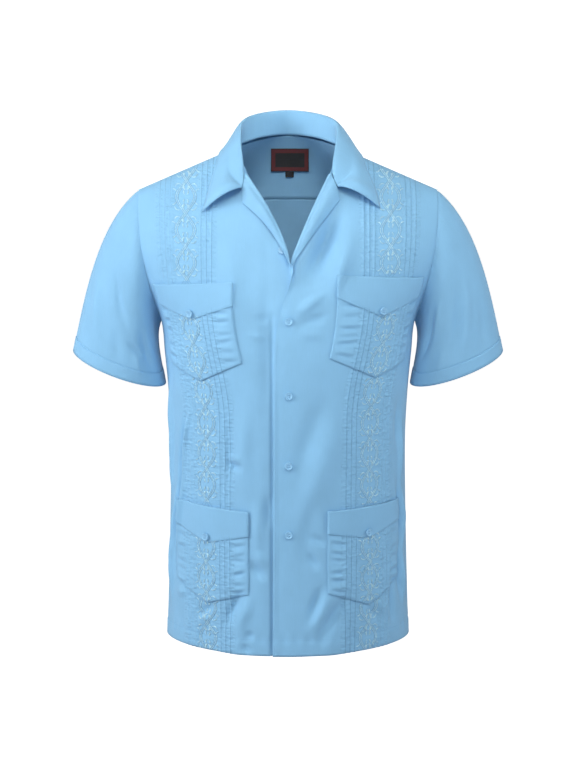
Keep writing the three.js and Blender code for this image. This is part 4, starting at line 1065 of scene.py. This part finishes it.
pocket_folds = {}
for seed, (name, values) in enumerate(POCKETS.items()):
    inner, outer, middle, tops, corners, tip, flap_corners, button = values
    side = name.split("_")[1]
    pocket_folds[name] = pocket_puckers(name, seed)
    columns = np.unique(np.concatenate([np.linspace(inner, -STRIP_HALF - 0.002, 14), STRIP_COLUMNS,
                                        np.linspace(STRIP_HALF + 0.002, outer, 9)]))
    bottom = patch_bottom(columns, inner, outer, 0.0, corners, tip)
    puckers = pocket_folds[name]
    points, flat = patch(side, columns, tops, bottom, POCKET_ROWS,
                         lambda u, z, edge: pocket_lift(u, z, edge, puckers, max(flap_corners)), True)
    pocket = add_grid(f"shirt_pocket_{name}", points, flat, side, wall=POCKET_WALL)
    pocket.data.materials.append(front_cloth)
    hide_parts(f"pocket_{name}")
    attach(pocket, "root")
    columns = np.linspace(inner - FLAP_OVERHANG, outer + FLAP_OVERHANG, FLAP_COLUMNS)
    columns[np.argmin(np.abs(columns - middle))] = middle
    flap_tip = button - FLAP_BELOW_BUTTON
    bottom = patch_bottom(columns, columns[0], columns[-1], middle, flap_corners, flap_tip)
    points, flat = patch(side, columns, tops, bottom, FLAP_ROWS, lambda u, z, edge: flap_lift(edge), False)
    flap = add_grid(f"shirt_flap_{name}", points, flat, side, wall=FLAP_WALL)
    flap.data.materials.append(back_cloth)
    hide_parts(f"flap_{name}")
    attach(flap, "root")

# ---------------------------------------------------------------- stitching
# Rows of lockstitch: round the pockets and flaps, along the hems, the front edge, the collar's edge and the
# yoke seam. Each stitch is a short bead of thread, sunk into the cloth at both ends.

STITCH = 0.0026
STITCH_RADIUS = 0.00024
STITCH_PLACES = np.array([0.06, 0.28, 0.72, 0.94])  # along one stitch: its ends and its full part
STITCH_SIZES = np.array([0.4, 1.0, 1.0, 0.4])

stitch_thread, stitch_shader = new_material("stitch_thread", Roughness=0.6)
plug(start(stitch_shader).noise(500.0).blend((0.12, 0.29, 0.52, 1), (0.20, 0.42, 0.68, 1)),
     stitch_shader, "Base Color")


def stitching(name, rows):
    """One piece from rows of stitches. Each row is a line of points and the way that the cloth faces
    there."""
    points = []
    for line, out in rows:
        run = np.concatenate([[0], np.cumsum(np.linalg.norm(np.diff(line, axis=0), axis=1))])
        places = np.arange(0, run[-1] - STITCH, STITCH)[:, None] + STITCH * STITCH_PLACES
        spot, up = (np.stack([np.interp(places, run, part[:, i]) for i in range(3)], -1)
                    for part in (line, out))
        up = unit(up)
        aside = unit(np.cross(spot[:, -1:] - spot[:, :1], up))
        ring = np.stack([aside, up, -aside, -up], 2) * STITCH_SIZES[None, :, None, None]
        sunk = spot + up * STITCH_RADIUS * (STITCH_SIZES - 1)[None, :, None]
        points.append((sunk[:, :, None] + ring * STITCH_RADIUS).reshape(-1, 3))
    points = np.concatenate(points)
    index = np.arange(len(points)).reshape(-1, len(STITCH_PLACES), 4)
    after = np.roll(index, -1, axis=2)
    quads = np.stack([index[:, :-1], after[:, :-1], after[:, 1:], index[:, 1:]], -1).reshape(-1, 4)
    piece = add_object(name, points, quads.tolist(), stitch_thread)
    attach(piece, "root")


def walk(corners, step=0.002):
    """Points along straight lines from corner to corner, a step apart or less."""
    corners = np.array(corners, float)
    legs = [mix(a, b, np.linspace(0, 1, int(np.hypot(*(b - a)) / step) + 2)[:, None])
            for a, b in zip(corners[:-1], corners[1:])]
    return np.concatenate([leg[:-1] for leg in legs] + [corners[-1:]])


def front_row(s, z, side, lift, tucks=True):
    """A row of stitches on a front or on what lies on it."""
    return on_front(s, z, side, lift, tucks), mirror(form_normal(s, z, FRONT), side)


POCKET_INSET, FLAP_INSET = 0.0018, 0.0026  # from the edges to the rows along them
TIP_INSET = 1.2  # times as far at the points
ROW_SINK = 0.0004
HEM_STITCHES, EDGE_POINTS, BACK_POINTS = 130, 200, 240  # points that carry a row
PLACKET_ROW, PLACKET_ROW_TOP = 0.003, -0.275  # the row beside the front edge, and its upper end
COLLAR_STITCH_AT, COLLAR_ROW_LIFT = 2.86, 0.0008  # on the way from the seam (0) to the edge (3)

rows = []
for name, (inner, outer, middle, tops, corners, tip, flap_corners, button) in POCKETS.items():
    side = name.split("_")[1]
    near, far = inner + POCKET_INSET, outer - POCKET_INSET
    u, z = walk([(near, flap_corners[0]), (near, corners[0] + POCKET_INSET),
                 (0, tip + POCKET_INSET * TIP_INSET), (far, corners[1] + POCKET_INSET),
                 (far, flap_corners[1])]).T
    rows.append(front_row(strip_centre(z) + u, z, side, POCKET_LIFT - ROW_SINK))
    near, far, flap_tip = inner + FLAP_INSET, outer - FLAP_INSET, button - FLAP_BELOW_BUTTON
    u, z = walk([(near, tops[0] - FLAP_INSET), (near, flap_corners[0] + FLAP_INSET),
                 (middle, flap_tip + FLAP_INSET * TIP_INSET), (far, flap_corners[1] + FLAP_INSET),
                 (far, tops[1] - FLAP_INSET), (near, tops[0] - FLAP_INSET)]).T
    rows.append(front_row(strip_centre(z) + u, z, side, FLAP_LIFT, False))
stitching("stitching_pockets", rows)

rows = []
for side in ("left", "right"):
    s = np.linspace(-0.018, SECTIONS[FRONT][0][0, -1] - 0.001, HEM_STITCHES)
    rows.append(front_row(s, 0 * s + HEM_Z + HEM_DEPTH, side, 0.0))
    ring = sleeve_grids[side][1 + SLEEVE_ROWS + int(np.argmin(np.abs(HEM_ROWS - SLEEVE_HEM)))]
    rows.append((ring, unit(ring - ring.mean(axis=0))))
s = np.linspace(-1, 1, BACK_POINTS) * (SECTIONS[BACK][0][0, -1] - 0.001)
z = 0 * s + HEM_Z + HEM_DEPTH
rows.append((on_back(s, z), form_normal(s, z, BACK)))
stitching("stitching_hems", rows)

z = np.linspace(HEM_Z + 0.002, PLACKET_ROW_TOP, EDGE_POINTS)
s = np.interp(z, EDGES["left"][:, 0], EDGES["left"][:, 1]) + PLACKET_ROW
rows = [front_row(s, z, "left", 0.0)]
edge_inset = np.argmin(np.abs(across - COLLAR_STITCH_AT))
line, outside = collar_grid[:, edge_inset], grid_normals(collar_grid)[:, edge_inset]
outside *= np.sign(np.sum(outside * (line - [0, 0.02, 0]), axis=-1, keepdims=True))
rows.append((line + outside * COLLAR_ROW_LIFT, outside))
stitching("stitching_edges", rows)

share = np.linspace(-1, 1, BACK_POINTS)
s, z = share * armhole(YOKE_V, BACK)[0] * 0.995, yoke_seam(np.abs(share)) + 0.002
stitching("stitching_yoke", [(on_back(s, z, YOKE_LIFT), form_normal(s, z, BACK))])

# ---------------------------------------------------------------- embroidery
# Machine embroidery in pale satin thread down the middle of each strip and on the pockets: two wavy double
# lines that cross and close into ovals, with leaves in them and curls beside the crossings.

SATIN_HEIGHT = 0.0009
STRIP_END = -0.030  # over the shoulder seam, which cuts the pattern off
LINE_STEP = 0.0017  # between the points of a line
SEAM_MARGIN, COVER_MARGIN, TIP_MARGIN = 0.004, 0.001, 0.0025  # kept clear below the seam, at pockets, at tips
UNDER_FLAP = 0.006  # how far over its button's middle a flap hides the threads
LEAF_STEPS = 9
# A repeat's leaves in one quarter: place aside and over its middle, length, first angle, turn and width.
LEAVES = [
    (0.0008, 0.0105, 0.0085, 1.25, -2.1, 0.0034),
    (0.0016, 0.0030, 0.0070, 0.75, -1.2, 0.0022),
    (0.0078, 0.0172, 0.0120, 0.95, 2.4, 0.0018),
    (0.0150, 0.0068, 0.0080, 0.10, 1.9, 0.0016),
]
# places across a thread and their heights, as shares of its half width and of its height
SECTION = np.array([[-1, -0.25], [-0.75, 0.65], [0, 1], [0.75, 0.65], [1, -0.25]])


def satin_runs(paths, widths, surface, keep, name):
    """Joined satin threads. Each path (offset, height) is swept with SECTION, whose width follows widths;
    quads whose ends aren't both kept are left out."""
    paths, widths = np.array(paths), np.array(widths)
    way = unit(np.gradient(paths, axis=1))
    aside = np.stack([-way[..., 1], way[..., 0]], -1)
    across = SECTION[:, 0][None, None, :, None] * aside[:, :, None] * widths[:, :, None, None] / 2
    spots = paths[:, :, None] + across
    lifts = SECTION[:, 1] * SATIN_HEIGHT * np.clip(widths / LINE_WIDTH, 0, 1.3)[..., None]
    points = surface(spots[..., 0], spots[..., 1], lifts)
    kept = keep(paths[..., 0], paths[..., 1])
    runs, steps, sides = points.shape[:3]
    index = np.arange(runs * steps * sides).reshape(runs, steps, sides)
    quads = np.stack([index[:, :-1, :-1], index[:, :-1, 1:], index[:, 1:, 1:], index[:, 1:, :-1]], -1)
    whole = (kept[:, :-1] & kept[:, 1:])[..., None] & np.ones(sides - 1, dtype=bool)
    quads = quads[whole]
    used, quads = np.unique(quads, return_inverse=True)
    piece = add_object(name, points.reshape(-1, 3)[used], quads.reshape(-1, 4).tolist(), satin, smooth=True)
    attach(piece, "root")


def leaf(at, length, angle, bend, width):
    """A leaf or curl as a path and its widths: an arc whose direction turns by bend from the first angle."""
    t = np.linspace(0, 1, LEAF_STEPS)
    heading = (angle + bend * t)[:-1]
    steps = np.stack([np.sin(heading), np.cos(heading)], -1) * length / (LEAF_STEPS - 1)
    path = at + np.concatenate([[[0, 0]], np.cumsum(steps, axis=0)])
    return path, width * np.sin(np.pi * np.clip(t, 0.03, 0.97)) ** 0.7


def embroider(bottom, top, surface, keep, name):
    """The threads of a strip between two heights as two pieces: its four lines, then the leaves of each
    repeat."""
    t = np.linspace(bottom, top, int((top - bottom) / LINE_STEP))
    wave = WAVE * np.sin(np.pi * t / REPEAT) * (1 - 0.12 * np.cos(2 * np.pi * t / REPEAT))
    lines = [np.stack([swing * wave + apart, t], -1)
             for swing in (-1, 1) for apart in (-LINE_APART, LINE_APART)]
    satin_runs(lines, np.full((4, len(t)), LINE_WIDTH), surface, keep, f"embroidery_lines_{name}")
    leaves = []
    for k in range(int(np.floor(bottom / REPEAT)), int(np.ceil(top / REPEAT))):
        for s in (-1, 1):
            for e in (-1, 1):
                first = 0 if e > 0 else np.pi
                for aside, over, length, angle, bend, width in LEAVES:
                    at = (aside * s, (k + 0.5) * REPEAT + e * over)
                    leaves.append(leaf(at, length, first + s * e * angle, s * e * bend, width))
    satin_runs(*zip(*leaves), surface, keep, f"embroidery_leaves_{name}")


satin, satin_shader = new_material("satin_thread", Roughness=0.38, Sheen_Weight=0.4)
satin_shader.inputs["Specular IOR Level"].default_value = 0.6
spots = start(satin_shader)
plug(spots.noise(420.0).spread(0.35, 0.65).blend((0.22, 0.46, 0.69, 1), (0.52, 0.80, 0.92, 1)),
     satin_shader, "Base Color")
strands = spots.make("ShaderNodeTexWave", {"bands_direction": "DIAGONAL"}, {
    "Vector": spots, "Scale": 900.0, "Distortion": 1.0})
plug(strands.bump(0.6, 0.0004), satin_shader, "Normal")

for side in ("left", "right"):
    def on_strip(offset, z, lift, side=side):
        """A point over the front's cloth."""
        return on_front(strip_centre(z) + offset, z, side, lift)

    def bare_front(offset, z, side=side):
        """True where no pocket covers the front."""
        seam = seam_height(strip_centre(0.0) + offset, FRONT)
        clear = (z < seam - SEAM_MARGIN) & (z > HEM_Z + COVER_MARGIN)
        for row in ("chest", "lower"):
            inner, outer, _, tops, corners, tip, _, _ = POCKETS[f"{row}_{side}"]
            below = z < patch_bottom(offset, inner, outer, 0.0, corners, tip) - COVER_MARGIN
            clear &= (z > max(tops) + COVER_MARGIN) | below
        return clear

    embroider(HEM_Z, STRIP_END, on_strip, bare_front, f"front_{side}")
    for row in ("chest", "lower"):
        name = f"{row}_{side}"

        def below(offset, name=name):
            """Height of the pocket's lower edge."""
            inner, outer, _, _, corners, tip, _, _ = POCKETS[name]
            return patch_bottom(offset, inner, outer, 0.0, corners, tip)

        def on_pocket(offset, z, lift, side=side, name=name, below=below):
            """A point over the pocket's cloth."""
            inner, outer, flap_corners = POCKETS[name][0], POCKETS[name][1], POCKETS[name][6]
            edge = np.minimum(z - below(offset), np.minimum(offset - inner, outer - offset))
            fullness = pocket_lift(offset, z, edge, pocket_folds[name], max(flap_corners))
            return on_front(strip_centre(z) + offset, z, side, fullness + lift)

        def on_body(offset, z, name=name, below=below):
            """True on the pocket's cloth, up to where its flap hides it."""
            return (z > below(offset) + TIP_MARGIN) & (z < POCKETS[name][7] + UNDER_FLAP)

        embroider(POCKETS[name][5], POCKETS[name][3][0], on_pocket, on_body, name)

# ---------------------------------------------------------------- buttons
# Four-hole shirt buttons of dyed plastic with a raised rim, sewn on with two bars of thread.

BUTTON_THICKNESS, BUTTON_SIDES = 0.0024, 40
HOLE_RADIUS, HOLE_APART, HOLE_SIDES = 0.00065, 0.00145, 10
BAR_RADIUS, BAR_LOW, BAR_RISE = 0.00042, 0.0009, 0.0011  # a bar of thread: half thickness, ends, middle
BAR_RINGS, BAR_SIDES = 9, 6
SHARP_ANGLE = np.radians(40)
BUTTON_OUTLINE = np.array([  # radius and height, from the middle of the back round to the middle of the face
    [0, 0], [0.0050, 0], [0.0056, 0.0003], [0.0058, 0.0010], [0.0057, 0.0018], [0.0053, 0.00235],
    [0.0048, 0.0024], [0.0043, 0.0021], [0.0039, 0.00165], [0.0034, 0.0016], [0, 0.0016]])

button_plastic, plastic_shader = new_material("button_plastic", Roughness=0.42)
swirl = start(plastic_shader).noise(260.0, 2.0, 1.5)
plug(swirl.blend((0.19, 0.42, 0.68, 1), (0.30, 0.56, 0.80, 1)), plastic_shader, "Base Color")


def turned(name, outline, sides):
    """A closed object turned about Z from an outline that starts and ends on the axis."""
    angle = np.linspace(0, 2 * np.pi, sides, endpoint=False)[:, None]
    radius, height = outline[1:-1, 0], outline[1:-1, 1]
    ring = np.stack([radius * np.cos(angle), radius * np.sin(angle), height + 0 * angle], -1).reshape(-1, 3)
    points = np.concatenate([ring, [[0, 0, outline[0, 1]], [0, 0, outline[-1, 1]]]])
    levels = len(outline) - 2
    here = np.arange(sides) * levels
    after, centre = np.roll(here, -1), np.full(sides, sides * levels)
    faces = []
    for k in range(levels - 1):
        faces += np.stack([here + k, after + k, after + k + 1, here + k + 1], -1).tolist()
    faces += np.stack([after, here, centre], -1).tolist()
    faces += np.stack([here + levels - 1, after + levels - 1, centre + 1], -1).tolist()
    return add_object(name, points, faces)


def drilled_button():
    """The button once: turned, then four holes cut through it with a Boolean. Returns points and faces."""
    blank = turned("blank", BUTTON_OUTLINE, BUTTON_SIDES)
    drill_outline = np.array([[0, -0.001], [HOLE_RADIUS, -0.001], [HOLE_RADIUS, 0.004], [0, 0.004]])
    for x in (-1, 1):
        for y in (-1, 1):
            drill = turned("drill", drill_outline, HOLE_SIDES)
            drill.data.transform(Matrix.Translation((x * HOLE_APART, y * HOLE_APART, 0)))
            cut = blank.modifiers.new("cut", "BOOLEAN")
            cut.operation, cut.object, cut.solver = "DIFFERENCE", drill, "EXACT"
    drilled = blank.evaluated_get(bpy.context.evaluated_depsgraph_get()).to_mesh()
    points = np.array([vertex.co for vertex in drilled.vertices])
    faces = [list(face.vertices) for face in drilled.polygons]
    for spare in [o for o in bpy.context.scene.objects if o.name.startswith(("blank", "drill"))]:
        bpy.data.objects.remove(spare, do_unlink=True)
    return points, faces


def thread_bars():
    """Two raised bars of thread, each from one hole to the next: half an ellipse along a round section."""
    t = np.linspace(0, np.pi, BAR_RINGS)[:, None]
    turn = np.linspace(0, 2 * np.pi, BAR_SIDES, endpoint=False)[:, None]
    points, faces = [], []
    for bar in (-1, 1):
        height = BAR_LOW + BAR_RISE * np.sin(t)
        centre = np.concatenate([-HOLE_APART * np.cos(t), bar * HOLE_APART + 0 * t, height], 1)[:, None]
        outward = np.concatenate([-np.cos(t), 0 * t, np.sin(t)], 1)[:, None]
        points.append(centre + BAR_RADIUS * (np.cos(turn) * outward + np.sin(turn) * [0, 1, 0]))
        index = (len(faces) * BAR_RINGS + np.arange(BAR_RINGS)[:, None]) * BAR_SIDES + np.arange(BAR_SIDES)
        after = np.roll(index, -1, axis=1)
        faces.append(np.stack([index[:-1], after[:-1], after[1:], index[1:]], -1).reshape(-1, 4))
    return np.concatenate(points).reshape(-1, 3), np.concatenate(faces).tolist()


button_shape, bar_shape = drilled_button(), thread_bars()


def placed(shape, name, spot, facing, material):
    """A copy of a shape with its Z along facing and its Y as near up as that allows."""
    across = unit(np.cross([0, 0, 1], facing))
    upright = np.cross(facing, across)
    points = spot + shape[0] @ np.array([across, upright, facing])
    piece = add_object(name, points, shape[1], material, smooth=True)
    piece.data.set_sharp_from_angle(angle=SHARP_ANGLE)
    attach(piece, "root")
    return piece


for node in [name for name in frame["nodes"] if name.startswith("button_")]:
    middle = np.mean(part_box(node), axis=0)
    side = "left" if node.endswith("left") or "placket" in node else "right"
    s = length_to(np.abs(middle[0]), middle[2], FRONT)
    facing = mirror(form_normal(s, middle[2], FRONT), side)
    spot = middle - facing * BUTTON_THICKNESS / 2
    disc = placed(button_shape, f"shirt_{node}", spot, facing, button_plastic)
    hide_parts(node)
    placed(bar_shape, f"thread_{node}", spot, facing, stitch_thread)

# ---------------------------------------------------------------- labels
# A woven damask label at the back neck, black with a dark red border and no lettering, and a small blank size
# tag under it. Both are sewn to the inside of the yoke.

label_low, label_high = (np.array(corner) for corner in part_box("label_neck"))
label_middle, label_half = (label_low + label_high) / 2, (label_high - label_low) / 2
BORDER_OUTER, BORDER_INNER = 0.0014, 0.0070  # from the label's edge

damask, damask_shader = new_material("damask_label", Roughness=0.62, Sheen_Weight=0.3)
place = start(damask_shader)
x, z = place.part(0) - label_middle[0], place.part(2) - label_middle[2]
inset = (label_half[0] - x.math("ABSOLUTE")).math("MINIMUM", label_half[2] - z.math("ABSOLUTE"))
border = inset.between(BORDER_OUTER, BORDER_INNER)
plug(border.blend((0.006, 0.006, 0.009, 1), (0.13, 0.010, 0.013, 1)), damask_shader, "Base Color")
ribs = place.make("ShaderNodeTexWave", {"bands_direction": "Z"}, {
    "Vector": place, "Scale": 700.0, "Distortion": 0.4})
plug(ribs.bump(0.5, 0.0003), damask_shader, "Normal")
for node in ("label_neck", "tag_size"):
    frame["nodes"][node].data.materials.clear()
    frame["nodes"][node].data.materials.append(damask)
